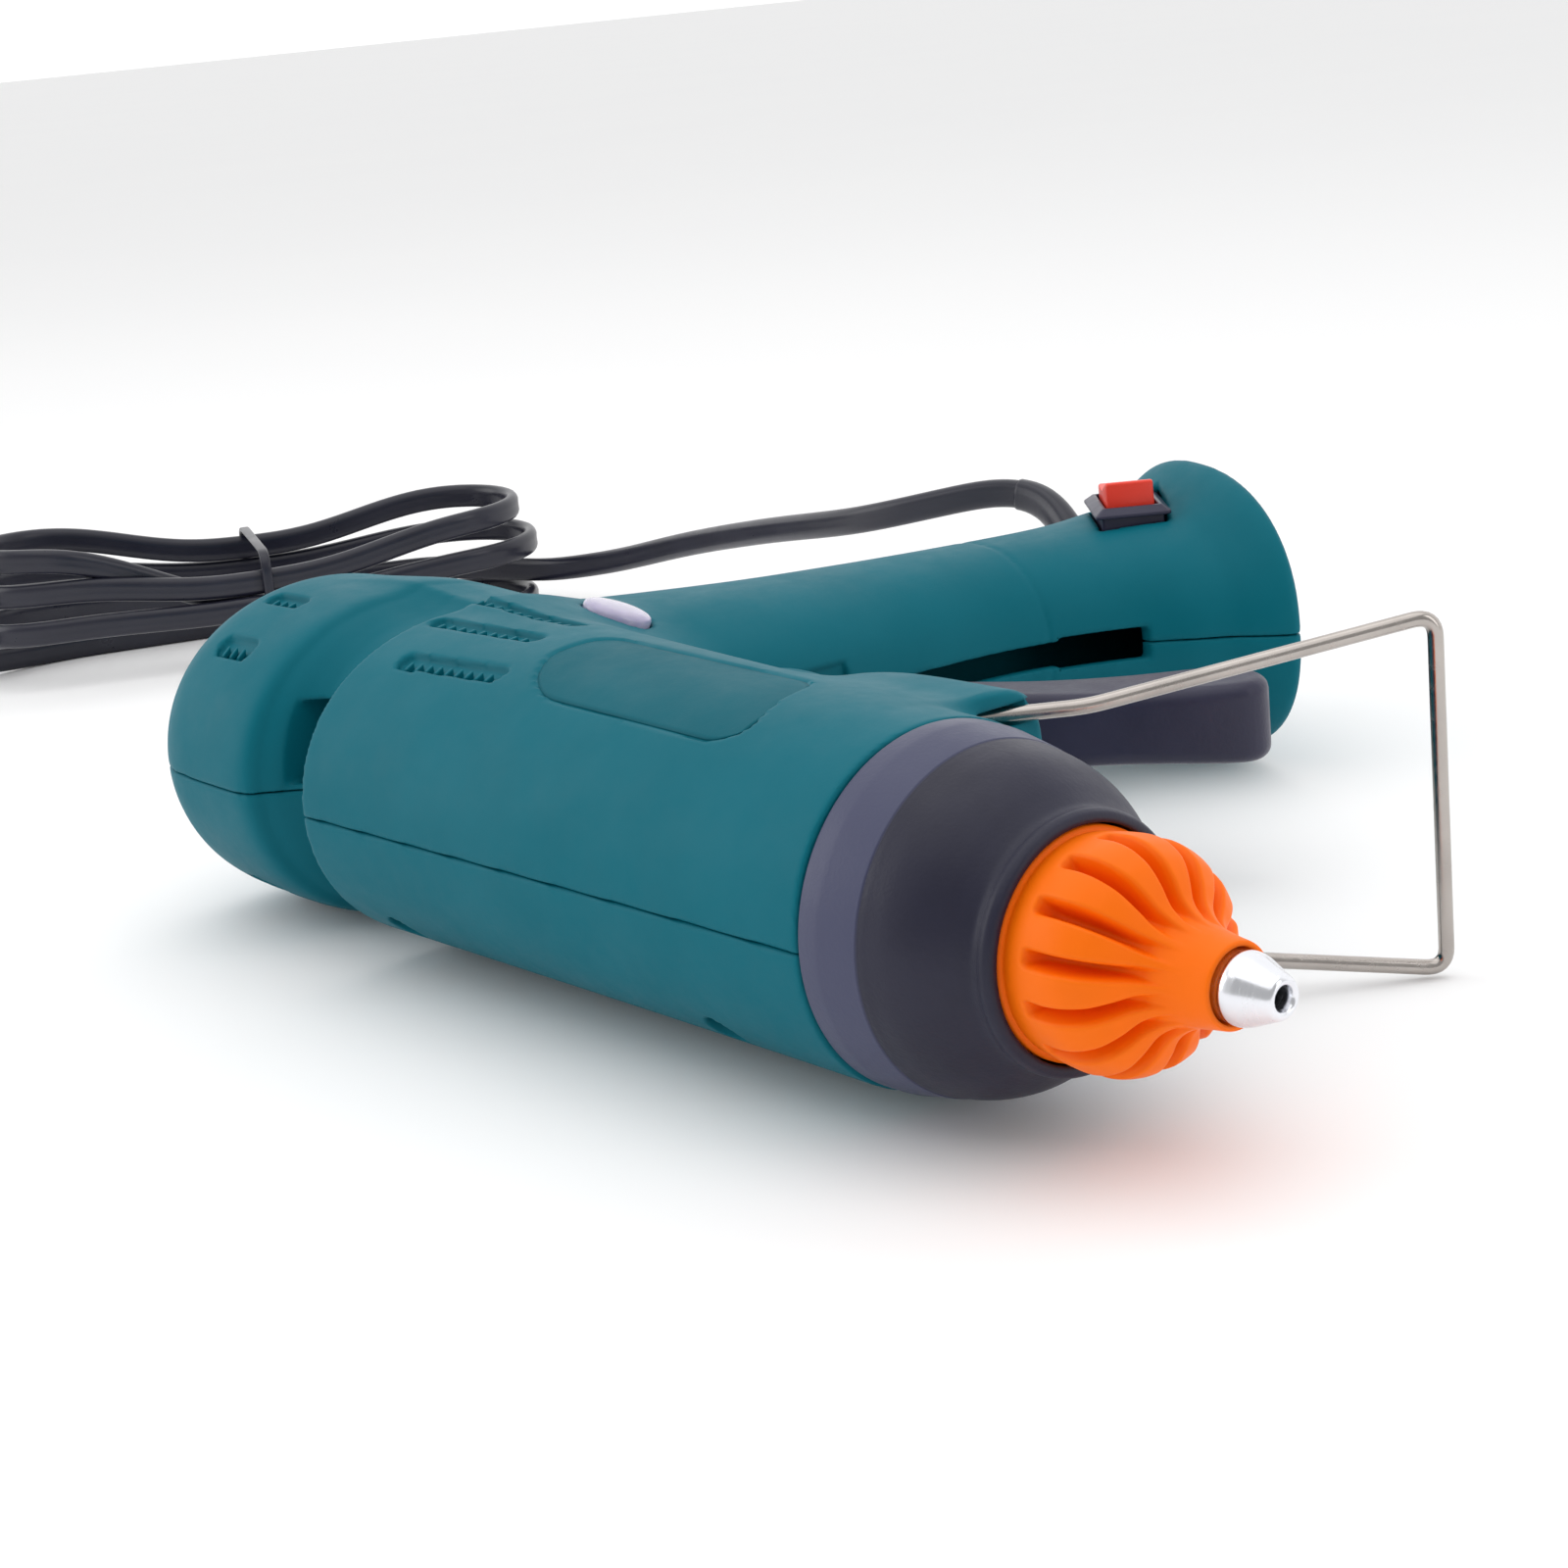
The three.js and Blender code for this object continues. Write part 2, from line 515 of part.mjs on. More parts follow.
// Mains side: strain relief, terminal block and the leads to the heater
function strainRelief() {
  return joined([glandBore(4, -9, 6), glandBore(3.2, 5, 17), glandBore(5.6, 0.8, 2.6)]);
}
add("strain_relief", strainRelief(), rubber);
add("terminal_block", box([-136, -124], [92, 112], [-6, 6]), siliconeGrey);
for (const [i, side] of [-1, 1].entries()) {
  const route = [
    [-56.4, 13.2, side * 1.5], [-60, 14, side * 6], [-66, 17, side * 12], [-82, 19, side * 15.5],
    [-104, 19, side * 15], [-113, 23, side * 11.5], [-120, 34, side * 6.5], [-128, 48, side * 6],
    [-131, 91.4, side * 3],
  ];
  add(`heater_lead_${i + 1}`, swept(route, 2, 2, 5, 22), siliconeGrey);
}

// Cord: the stretch from the handle to the hank, the hank, its tie and the plug
const out = new THREE.Vector3(...CORD_OUT).normalize();
const cordStart = new THREE.Vector3(...CORD_EXIT).addScaledVector(out, 17.9).toArray();
const CORD_ROUTE = [
  cordStart, [-168, 177.8, 14.2], [-178, 174.5, 14], [-192, 167, 10], [-213, 160.5, 4.5], [-257, 170, -4],
  [-300, 178, -11], [-340, 181, -17.5], [-364, 175.5, -20],
];
add("cord_lead", swept(CORD_ROUTE, CORD_WIDTH, CORD_THICK, 8, 30), rubber);

// The hank, its tie and the plug are drawn along X round (0, 0) and placed by one matrix.
const HANK = { length: 152, width: 44, low: FLOOR_Z, high: -4 };
const hankPlace = new THREE.Matrix4().makeRotationZ(Math.atan2(0.93, 0.37)).setPosition(-398, 104, 0);
function hank() {
  const straight = HANK.length / 2 - HANK.width / 2;
  const shape = new THREE.Shape();
  shape.moveTo(-straight, -HANK.width / 2);
  shape.lineTo(straight, -HANK.width / 2);
  shape.absarc(straight, 0, HANK.width / 2, -Math.PI / 2, Math.PI / 2);
  shape.lineTo(-straight, HANK.width / 2);
  shape.absarc(-straight, 0, HANK.width / 2, Math.PI / 2, 3 * Math.PI / 2);
  const bevel = 6;
  const geometry = new THREE.ExtrudeGeometry(shape, {
    depth: HANK.high - HANK.low - 2 * bevel, bevelSize: bevel, bevelThickness: bevel, bevelOffset: -bevel,
    bevelSegments: 1, curveSegments: 6,
  });
  geometry.translate(0, 0, HANK.low + bevel);
  return solid(geometry, hankPlace);
}

// A flat strap round the hank at its middle, at a distance from its sides.
function strap(halfLength, halfWidth, low, high, thick) {
  const around = box([-halfLength, halfLength], [-halfWidth, halfWidth], [low, high], hankPlace);
  const inside = [halfWidth - thick, low + thick, high - thick];
  const bore = box([-halfLength - 2, halfLength + 2], [-inside[0], inside[0]], inside.slice(1), hankPlace);
  return around.subtract(bore);
}
add("cord_hank", hank().subtract(strap(4, 60, HANK.low - 36.2, HANK.high + 38.1, 38)), rubber);
add("cord_tie", strap(3.5, 24, FLOOR_Z, HANK.high + 1.8, 1.5), rubber);

const PLUG_X = -HANK.length / 2 - 26; // where the cord goes into the plug
const PLUG_Z = -19;
const tailRoute = [[PLUG_X + 25.6, 0, -18], [PLUG_X + 13, 0, -18.5], [PLUG_X + 0.4, 0, PLUG_Z]];
add("cord_tail", swept(tailRoute, CORD_WIDTH, CORD_THICK, 8, 6, hankPlace), rubber);
function plugBody() {
  const neck = turned([
    [PLUG_X, 0], [PLUG_X, 4.4], [PLUG_X - 12, 6.4], [PLUG_X - 14, 9], [PLUG_X - 34, 9], [PLUG_X - 36, 8],
    [PLUG_X - 36, 0],
  ], 16, 0, PLUG_Z, hankPlace);
  return neck.add(box([PLUG_X - 36, PLUG_X - 16], [-17.5, 17.5], [PLUG_Z - 7, PLUG_Z + 7], hankPlace));
}
const pins = [-9.5, 9.5];
const pinBores = joined(pins.map((y) => rod(PLUG_X - 60, PLUG_X - 30, 2.3, 12, y, PLUG_Z, hankPlace)));
add("plug_body", plugBody().subtract(pinBores), rubber);
for (const [i, y] of pins.entries())
  add(`plug_pin_${i + 1}`, rod(PLUG_X - 55, PLUG_X - 30.3, 2, 12, y, PLUG_Z, hankPlace), nickel);

// The origin goes to the bottom centre of the gun's own box, without the cord, its hank and its plug.
const onCord = /^(cord_|plug_|strain_relief)/;
const bounds = new THREE.Box3();
for (const mesh of gun.children)
  if (!onCord.test(mesh.name)) bounds.expandByObject(mesh);
const middle = bounds.getCenter(new THREE.Vector3());
gun.position.set(-middle.x, -middle.y, -bounds.min.z);

export default gun;
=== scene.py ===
"""Glue gun: detailed model, materials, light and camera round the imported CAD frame.

Shapes are written in the part's own millimetres, with the glue stick's axis as x and the collar's rear rim
at x = 0. row() turns them into the row frame, in metres.
"""
import math
import bpy
import bmesh
import numpy as np
from mathutils import Matrix, Vector


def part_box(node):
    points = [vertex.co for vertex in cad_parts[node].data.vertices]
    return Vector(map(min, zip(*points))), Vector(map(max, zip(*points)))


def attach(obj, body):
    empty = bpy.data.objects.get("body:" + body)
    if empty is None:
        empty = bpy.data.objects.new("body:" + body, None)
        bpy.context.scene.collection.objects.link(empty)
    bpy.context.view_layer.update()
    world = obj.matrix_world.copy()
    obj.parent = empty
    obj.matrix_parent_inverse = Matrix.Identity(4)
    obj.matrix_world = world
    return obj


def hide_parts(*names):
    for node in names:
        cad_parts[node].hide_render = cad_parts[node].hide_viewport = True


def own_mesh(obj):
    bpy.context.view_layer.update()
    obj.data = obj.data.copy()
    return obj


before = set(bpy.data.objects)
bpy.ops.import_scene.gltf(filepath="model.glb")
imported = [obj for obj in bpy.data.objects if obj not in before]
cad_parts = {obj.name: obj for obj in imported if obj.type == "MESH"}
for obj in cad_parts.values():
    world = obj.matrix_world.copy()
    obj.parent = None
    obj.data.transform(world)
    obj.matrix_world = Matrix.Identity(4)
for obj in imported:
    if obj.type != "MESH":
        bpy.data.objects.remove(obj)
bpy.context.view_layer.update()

# --- dimensions shared with the CAD, mm
OFFSET = (62.650, -75.955, 30.100)
WALL = 2.6
RIM_R = 27.5
BARREL_REAR = -130.0
TAIL_END = -191.0
FLOOR_Z = -30.1
TRIGGER_PIVOT = (-92.0, 46.0)
TRIGGER_HALF = 7.5
ARM_LENGTH = 32.0
ARM_LEAN = math.radians(12.5)
BAIL_PIVOT = (-19.0, 23.0)
BAIL_REACH = 73.3
BAIL_ANGLE = math.radians(55.1)
WIRE_R = 1.25
LEG_Z = 20.0
BAIL_HALF = 28.7
SWITCH_CENTRE = (-113.0, 152.5)
SWITCH_Z = 21.2
SWITCH_YAW = math.radians(52.4)
ROCKER_TILT = math.radians(10)
SCREWS = [(-170, -20), (-117, -22), (-30, -19), (-40, 27.5), (-146, 64), (-131, 132)]
LENS = (-122.0, 31.5)
LENS_R = 6.4
VENTS = [
    ((-118, -15), (-93, -13)), ((-126, -3), (-99.5, -1.2)), ((-131, 8.5), (-103, 10)),
    ((-173.6, -20.6), (-165.2, -20.4)), ((-175, -8.4), (-166.5, -8.2)),
]
VENT_HALF = 1.9
VENT_DEPTH = 1.3
NAME_FIELD = [(-77, -15.5), (-32, -15.5), (-27, -12), (-33, 5.5), (-37, 7.5), (-86, 7.5), (-89, 4), (-89, -5),
              (-84, -12)]
CORD_EXIT = (-147.0, 173.5, 2.0)
CORD_OUT = (-0.8, 0.2, 0.56)
CORD_WIDTH = 6.3
CORD_THICK = 3.9
CORD_HIDDEN = 12.0
BOOT_LENGTH = 37.0
BOOT_STRAIGHT = 10.0
HANK_LENGTH = 152.0
HANK_WIDTH = 44.0
HANK_RADIUS = 20.6
HANK_LAYER = 6.42
HANK_CENTRE = (-398.0, 104.0)
HANK_YAW = math.atan2(0.93, 0.37)
PLUG_X = -HANK_LENGTH / 2 - 26
PLUG_Z = FLOOR_Z + 9.1
VOXEL = 0.62
CAMERA_AT = (310.5, -262.7, 131.6)
CAMERA_ANGLES = (52.8, 15.3, -5.5)
CAMERA_LENS = 67.5


def row(p):
    """A point in the part's millimetres as a point in the row frame, in metres."""
    return tuple((p[i] + OFFSET[i]) / 1000 for i in range(3))


def unit(v):
    v = np.asarray(v, float)
    return v / np.linalg.norm(v)


def linked(name, data):
    """A new object in the scene."""
    obj = bpy.data.objects.new(name, data)
    bpy.context.collection.objects.link(obj)
    return obj


# --- camera
def make_camera():
    azimuth, elevation, roll = (math.radians(v) for v in CAMERA_ANGLES)
    back = Vector((math.sin(azimuth) * math.cos(elevation), -math.cos(azimuth) * math.cos(elevation),
                   math.sin(elevation)))
    right = (-back).cross(Vector((0, 0, 1))).normalized()
    up = right.cross(-back)
    right, up = (math.cos(roll) * right + math.sin(roll) * up,
                 -math.sin(roll) * right + math.cos(roll) * up)
    data = bpy.data.cameras.new("main_camera")
    data.lens = CAMERA_LENS
    data.sensor_width = 36
    data.clip_end = 50
    camera = linked("main_camera", data)
    turn = Matrix((right, up, back)).transposed().to_4x4()
    camera.matrix_world = Matrix.Translation(row(CAMERA_AT)) @ turn
    bpy.context.scene.camera = camera


make_camera()


# --- materials
def srgb(r, g, b):
    """8-bit sRGB as linear values."""
    return [c / 12.92 if c <= 0.04045 else ((c + 0.055) / 1.055) ** 2.4 for c in (r / 255, g / 255, b / 255)]


def preset(node, values):
    """Constants straight onto a node's sockets."""
    for name, value in values.items():
        node.inputs[name].default_value = value


def shader(name, rough, metallic=0.0, coat=0.0, specular=0.5):
    """A new material with a Principled shader. Returns the material, its nodes, its links and the shader."""
    material = bpy.data.materials.new(name)
    material.use_nodes = True
    nodes, links = material.node_tree.nodes, material.node_tree.links
    bsdf = nodes["Principled BSDF"]
    preset(bsdf, {"Roughness": rough, "Metallic": metallic, "Coat Weight": coat, "Coat Roughness": 0.1,
                  "Specular IOR Level": specular})
    return material, nodes, links, bsdf


def noise(nodes, links, scale, detail=3.0, roughness=0.55, stretch=(1, 1, 1)):
    """A noise texture in object coordinates."""
    place = nodes.new("ShaderNodeTexCoord")
    mapping = nodes.new("ShaderNodeMapping")
    preset(mapping, {"Scale": stretch})
    texture = nodes.new("ShaderNodeTexNoise")
    preset(texture, {"Scale": scale, "Detail": detail, "Roughness": roughness})
    links.new(place.outputs["Object"], mapping.inputs["Vector"])
    links.new(mapping.outputs["Vector"], texture.inputs["Vector"])
    return texture.outputs["Fac"]


def ramp(nodes, links, source, low, high, from_low=0.3, from_high=0.7):
    """source spread from low to high."""
    node = nodes.new("ShaderNodeMapRange")
    preset(node, {"From Min": from_low, "From Max": from_high, "To Min": low, "To Max": high})
    links.new(source, node.inputs["Value"])
    return node.outputs["Result"]


def mixed(nodes, links, source, first, second):
    """A colour between two, led by source."""
    node = nodes.new("ShaderNodeMix")
    node.data_type = "RGBA"
    preset(node, {6: (*first, 1), 7: (*second, 1)})
    links.new(source, node.inputs[0])
    return node.outputs[2]


def bumped(nodes, links, bsdf, layers):
    """Bump from (height, strength, distance in metres) layers, one on another."""
    last = None
    for height, strength, distance in layers:
        node = nodes.new("ShaderNodeBump")
        preset(node, {"Strength": strength, "Distance": distance})
        links.new(height, node.inputs["Height"])
        if last:
            links.new(last, node.inputs["Normal"])
        last = node.outputs["Normal"]
    links.new(last, bsdf.inputs["Normal"])


def moulded(name, colour, rough, grain=0.25, tone=0.06, coat=0.0, grain_scale=2600, specular=0.5):
    """Moulded plastic or silicone: spark-eroded grain, faint cloudiness, handling marks."""
    material, nodes, links, bsdf = shader(name, rough, coat=coat, specular=specular)
    cloud = noise(nodes, links, 38, 4)
    darker = [c * (1 - tone) for c in colour]
    lighter = [min(1, c * (1 + tone) + 0.002) for c in colour]
    links.new(mixed(nodes, links, ramp(nodes, links, cloud, 0, 1), darker, lighter), bsdf.inputs["Base Color"])
    smear = noise(nodes, links, 90, 5, 0.7)
    links.new(ramp(nodes, links, smear, rough - 0.06, rough + 0.08), bsdf.inputs["Roughness"])
    fine = noise(nodes, links, grain_scale, 2)
    soft = noise(nodes, links, 60, 2)
    bumped(nodes, links, bsdf, [(soft, 0.12, 0.0006), (fine, grain, 0.00008)])
    return material


def metal(name, colour, rough, stretch=(1, 1, 1), scale=900, strength=0.15, tone=0.1):
    """Turned, drawn or plated metal with fine marks along its working direction."""
    material, nodes, links, bsdf = shader(name, rough, metallic=1.0)
    marks = noise(nodes, links, scale, 4, 0.6, stretch)
    stain = noise(nodes, links, 70, 4)
    darker = [c * (1 - tone) for c in colour]
    links.new(mixed(nodes, links, ramp(nodes, links, stain, 0, 1), darker, colour), bsdf.inputs["Base Color"])
    links.new(ramp(nodes, links, marks, rough - 0.06, rough + 0.1), bsdf.inputs["Roughness"])
    bumped(nodes, links, bsdf, [(marks, strength, 0.00004)])
    return material


TEAL = srgb(0, 100, 115)
GREY = srgb(46, 45, 67)
ORANGE = srgb(252, 112, 0)
RED = srgb(236, 62, 44)

teal = moulded("teal_plastic", TEAL, 0.5, grain=0.18, tone=0.04, specular=0.1)
teal_dark = moulded("teal_plate", [c * 0.84 for c in TEAL], 0.55, grain=0.3, tone=0.05, specular=0.1)
collar_grey = moulded("collar_plastic", srgb(33, 33, 52), 0.42, grain=0.5, tone=0.16, grain_scale=1500,
                      specular=0.3)
trim_grey = moulded("trim_plastic", GREY, 0.4, grain=0.6, tone=0.14, grain_scale=1300, specular=0.35)
bezel_grey = moulded("bezel_plastic", GREY, 0.34, grain=0.2, tone=0.08, specular=0.35)
orange = moulded("orange_silicone", ORANGE, 0.46, grain=0.12, tone=0.07, grain_scale=1200, specular=0.15)
red = moulded("red_plastic", RED, 0.34, grain=0.15, tone=0.05, coat=0.1, specular=0.3)
cord_black = moulded("cord_rubber", srgb(26, 27, 42), 0.32, grain=0.15, tone=0.15, coat=0.1, grain_scale=1800,
                     specular=0.45)
ceramic = moulded("ceramic", srgb(225, 218, 200), 0.7, grain=0.3, tone=0.08)
inner_silicone = moulded("inner_silicone", srgb(190, 186, 176), 0.55, grain=0.1, tone=0.08)
turned_aluminium = metal("turned_aluminium", (0.83, 0.84, 0.88), 0.2, (9, 1, 1), 260, 0.1)
nickel = metal("nickel_wire", (0.5, 0.46, 0.43), 0.2, (1, 1, 1), 500, 0.1, 0.2)
zinc_steel = metal("zinc_steel", (0.5, 0.51, 0.53), 0.32, (1, 1, 1), 700, 0.2, 0.2)


def painted_reflection_band(material, at_x, colour):
    """A lighter band behind a crease of the collar: painted reflection, standing in for the light that the
    collar's rear cone reflects.
    """
    nodes, links = material.node_tree.nodes, material.node_tree.links
    bsdf = nodes["Principled BSDF"]
    under = bsdf.inputs["Base Color"].links[0].from_socket
    place = nodes.new("ShaderNodeTexCoord")
    parts = nodes.new("ShaderNodeSeparateXYZ")
    links.new(place.outputs["Object"], parts.inputs["Vector"])
    edge = row((at_x, 0, 0))[0]
    # Mask of the painted reflection: 1 behind the crease, 0 in front of it
    side = ramp(nodes, links, parts.outputs["X"], 1, 0, edge - 0.0002, edge + 0.0002)
    node = nodes.new("ShaderNodeMix")
    node.data_type = "RGBA"
    node.inputs[7].default_value = (*colour, 1)
    links.new(under, node.inputs[6])
    links.new(side, node.inputs[0])
    links.new(node.outputs[2], bsdf.inputs["Base Color"])


# Painted reflection: the collar's rear cone is coloured lighter than its dome to stand in for reflected light
painted_reflection_band(collar_grey, 11.0, srgb(68, 71, 97))


def lens_material():
    material, nodes, links, bsdf = shader("lens_plastic", 0.12, coat=0.4)
    cloud = noise(nodes, links, 220, 3)
    links.new(mixed(nodes, links, ramp(nodes, links, cloud, 0, 1), srgb(190, 182, 216), srgb(216, 208, 236)),
              bsdf.inputs["Base Color"])
    preset(bsdf, {"Transmission Weight": 0.35, "Subsurface Weight": 0.2,
                  "Subsurface Radius": (0.002, 0.002, 0.003)})
    bumped(nodes, links, bsdf, [(cloud, 0.1, 0.0002)])
    return material


lens_lilac = lens_material()


# --- mesh helpers
def finish_piece(obj, material, replaced=(), body="housing", smooth=True):
    """Materials, shading, body and the CAD nodes that a piece stands for."""
    obj.data.materials.clear()
    obj.data.materials.append(material)
    if smooth:
        obj.data.shade_smooth()
    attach(obj, body)
    if replaced:
        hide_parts(*replaced)
    return obj


def mesh_object(name, verts, faces):
    """verts in the part's millimetres."""
    mesh = bpy.data.meshes.new(name)
    placed = (np.asarray(verts, float) + np.array(OFFSET)) / 1000
    mesh.from_pydata(placed.tolist(), [], faces)
    mesh.validate()
    return linked(name, mesh)


def outward(obj):
    """Faces turned outwards."""
    work = bmesh.new()
    work.from_mesh(obj.data)
    bmesh.ops.recalc_face_normals(work, faces=work.faces)
    work.to_mesh(obj.data)
    work.free()
    return obj


def skin(name, rings, close_ends=True, wrap=False):
    """A mesh over rings of points. The ends are closed with fans, or the last ring joins the first."""
    rings = [np.asarray(r, float) for r in rings]
    count = len(rings[0])
    verts = np.concatenate(rings).tolist()
    faces = []
    spans = len(rings) if wrap else len(rings) - 1
    for r in range(spans):
        a, b = r * count, ((r + 1) % len(rings)) * count
        for i in range(count):
            j = (i + 1) % count
            faces.append((a + i, a + j, b + j, b + i))
    if close_ends and not wrap:
        for r in (0, len(rings) - 1):
            verts.append(rings[r].mean(0).tolist())
            hub = len(verts) - 1
            faces.extend((r * count + i, r * count + (i + 1) % count, hub) for i in range(count))
    return outward(mesh_object(name, verts, faces))


def corner_curve(start, corner, end, steps):
    """Points of a curve that cuts a corner between two points of its sides."""
    return [(1 - t) ** 2 * start + 2 * t * (1 - t) * corner + t * t * end for t in np.linspace(0, 1, steps)]


def rounded_profile(points, radius, steps=4):
    """A closed outline of (a, b) points with each corner rounded."""
    points = [np.array(p, float) for p in points]
    out = []
    for i, p in enumerate(points):
        before, after = points[i - 1], points[(i + 1) % len(points)]
        reach = min(radius, 0.42 * np.linalg.norm(p - before), 0.42 * np.linalg.norm(after - p))
        start, end = p + unit(before - p) * reach, p + unit(after - p) * reach
        out.extend(corner_curve(start, p, end, steps))
    return out


def round_angles(count):
    return np.linspace(0, 2 * math.pi, count, endpoint=False)


def hoop(x, radius, angles):
    """A ring round the stick's axis. The radius is one number, or one for each angle."""
    return np.stack([np.full(len(angles), x), radius * np.cos(angles), radius * np.sin(angles)], 1)


def lathe(name, profile, sides, radius, steps=4):
    """A closed profile of (x, r) with rounded corners, turned round the stick's axis."""
    angles = round_angles(sides)
    rings = [hoop(x, r, angles) for x, r in rounded_profile(profile, radius, steps)]
    return skin(name, rings, wrap=True)


def lengths_along(path):
    return np.concatenate([[0], np.cumsum(np.linalg.norm(np.diff(path, axis=0), axis=1))])


def resampled(path, step):
    """A polyline with even steps."""
    path = np.asarray(path, float)
    along = lengths_along(path)
    wanted = np.linspace(0, along[-1], max(2, int(round(along[-1] / step)) + 1))
    return np.stack([np.interp(wanted, along, path[:, i]) for i in range(3)], 1)


def catmull(points, each=24):
    """A smooth curve through points."""
    pts = np.asarray(points, float)
    pts = np.concatenate([[2 * pts[0] - pts[1]], pts, [2 * pts[-1] - pts[-2]]])
    out = []
    for i in range(1, len(pts) - 2):
        p0, p1, p2, p3 = pts[i - 1:i + 3]
        t = np.linspace(0, 1, each, endpoint=False)[:, None]
        out.append(0.5 * (2 * p1 + (p2 - p0) * t + (2 * p0 - 5 * p1 + 4 * p2 - p3) * t ** 2
                          + (3 * p1 - p0 - 3 * p2 + p3) * t ** 3))
    return np.concatenate(out + [pts[-2][None]])


def unit_rows(vectors):
    return vectors / np.linalg.norm(vectors, axis=1)[:, None]


def upright_sections(path, outlines):
    """Rings along a path that never stands upright: an outline of (sideways, upwards) for each point."""
    tangent = unit_rows(np.gradient(path, axis=0))
    side = unit_rows(np.cross(tangent, [0, 0, 1]))
    up = np.cross(side, tangent)
    return [p + o[:, :1] * s + o[:, 1:] * u for p, s, u, o in zip(path, side, up, outlines)]


# --- cord
def eased(t):
    """From 0 to 1 with a gentle start and end."""
    t = min(1.0, max(0.0, t))
    return t * t * (3 - 2 * t)


def in_hank(p):
    c, s = math.cos(HANK_YAW), math.sin(HANK_YAW)
    return (HANK_CENTRE[0] + c * p[0] - s * p[1], HANK_CENTRE[1] + s * p[0] + c * p[1], p[2])


def cord_route():
    """The whole cord: out of the handle, over to the hank, round it, and out of it to the plug."""
    out = unit(CORD_OUT)
    start = [np.array(CORD_EXIT) + out * d for d in (-8, -2, 4, 9)]
    lead = [(-158.5, 177, 11.4), (-165.5, 177.6, 15.4), (-176, 174.5, 16.2), (-192, 168.5, 13), (-213, 163, 8.6),
            (-257, 170, 1), (-300, 178, -7.5), (-340, 181, -16.5), (-364, 175.5, -20.4)]
    radius = HANK_RADIUS
    straight = HANK_LENGTH / 2 - HANK_WIDTH / 2
    bottom = FLOOR_Z + CORD_WIDTH / 2 + 0.05
    loops = []

    def around(turn, stretch):
        """A point of the racetrack; turn 0 is the middle of the +x fold, going to +y."""
        reach, quarter = straight + stretch, math.pi * radius / 2
        s = (turn % 0.5) * (4 * straight + 4 * quarter)
        if s < quarter:
            x, y = reach + radius * math.cos(s / radius), radius * math.sin(s / radius)
        elif s < quarter + 2 * straight:
            x, y = reach - (s - quarter) * reach / straight, radius
        else:
            angle = (s - 2 * straight) / radius
            x, y = -reach + radius * math.cos(angle), radius * math.sin(angle)
        return (x, y) if turn % 1.0 < 0.5 else (-x, -y)

    def bow(turn, x):
        """How far the upper loops lift away from the tie."""
        return 3.6 * min(2.5, turn) * eased((abs(x) - 9) / 46)

    second = bottom + HANK_LAYER
    stretches = [0, 1.5, -2.5, 0.5]
    for turn in np.arange(0.1, 3.30, 0.02):
        lap = int(turn)
        blend = turn - lap
        here = stretches[lap] * (1 - blend) + stretches[min(lap + 1, 3)] * blend
        x, y = around(turn, here)
        if turn <= 2.5:
            z = second + HANK_LAYER * turn + bow(turn, x)
            y += 1.6 * math.sin(5.1 * turn) * min(1.0, turn)
        else:
            # The strand comes down inside the others along the far straight
            ease = eased((turn - 2.57) / 0.34)
            z = (second + 2.5 * HANK_LAYER + bow(2.5, x)) * (1 - ease) + bottom * ease
            inside = eased((turn - 2.58) / 0.09) * eased((2.92 - turn) / 0.09)
            y += 1.6 * math.sin(5.1 * 2.5) * (1 - ease) + 4.9 * inside
        loops.append(in_hank((x, y, z)))
    tail = [in_hank(p) for p in (
        (-36, radius, bottom), (-50, radius - 0.4, bottom), (-62, radius - 3.4, bottom),
        (-76, radius - 10.5, bottom + 1.2), (-89, 2.6, PLUG_Z - 1.2), (-96, 0.3, PLUG_Z), (-106, 0, PLUG_Z),
        (-112, 0, PLUG_Z))]
    first = catmull([*start, *lead], 16)
    joined = np.concatenate([first, np.array(loops), catmull(tail, 8)])
    even = resampled(joined, 1.2)
    kernel = np.exp(-0.5 * (np.arange(-9, 10) / 3.6) ** 2)
    kernel /= kernel.sum()
    for _ in range(2):
        padded = np.concatenate([np.repeat(even[:1], 9, 0), even, np.repeat(even[-1:], 9, 0)])
        smooth = np.stack([np.convolve(padded[:, i], kernel, "valid") for i in range(3)], 1)
        smooth[:4], smooth[-4:] = even[:4], even[-4:]
        even = smooth
    return resampled(even, 1.5)


def twin_outline(count=20, width=CORD_WIDTH, thick=CORD_THICK, waist=0.16):
    """A flat twin lead's outline, standing on its edge, with a shallow waist between the cores."""
    out = []
    for a in round_angles(count) + math.pi / count:
        c, s = math.cos(a), math.sin(a)
        squeeze = 1 - waist * math.exp(-((s / 0.3) ** 2))
        out.append((thick / 2 * math.copysign(abs(c) ** 0.8, c) * squeeze,
                    width / 2 * math.copysign(abs(s) ** 0.9, s)))
    return np.array(out)


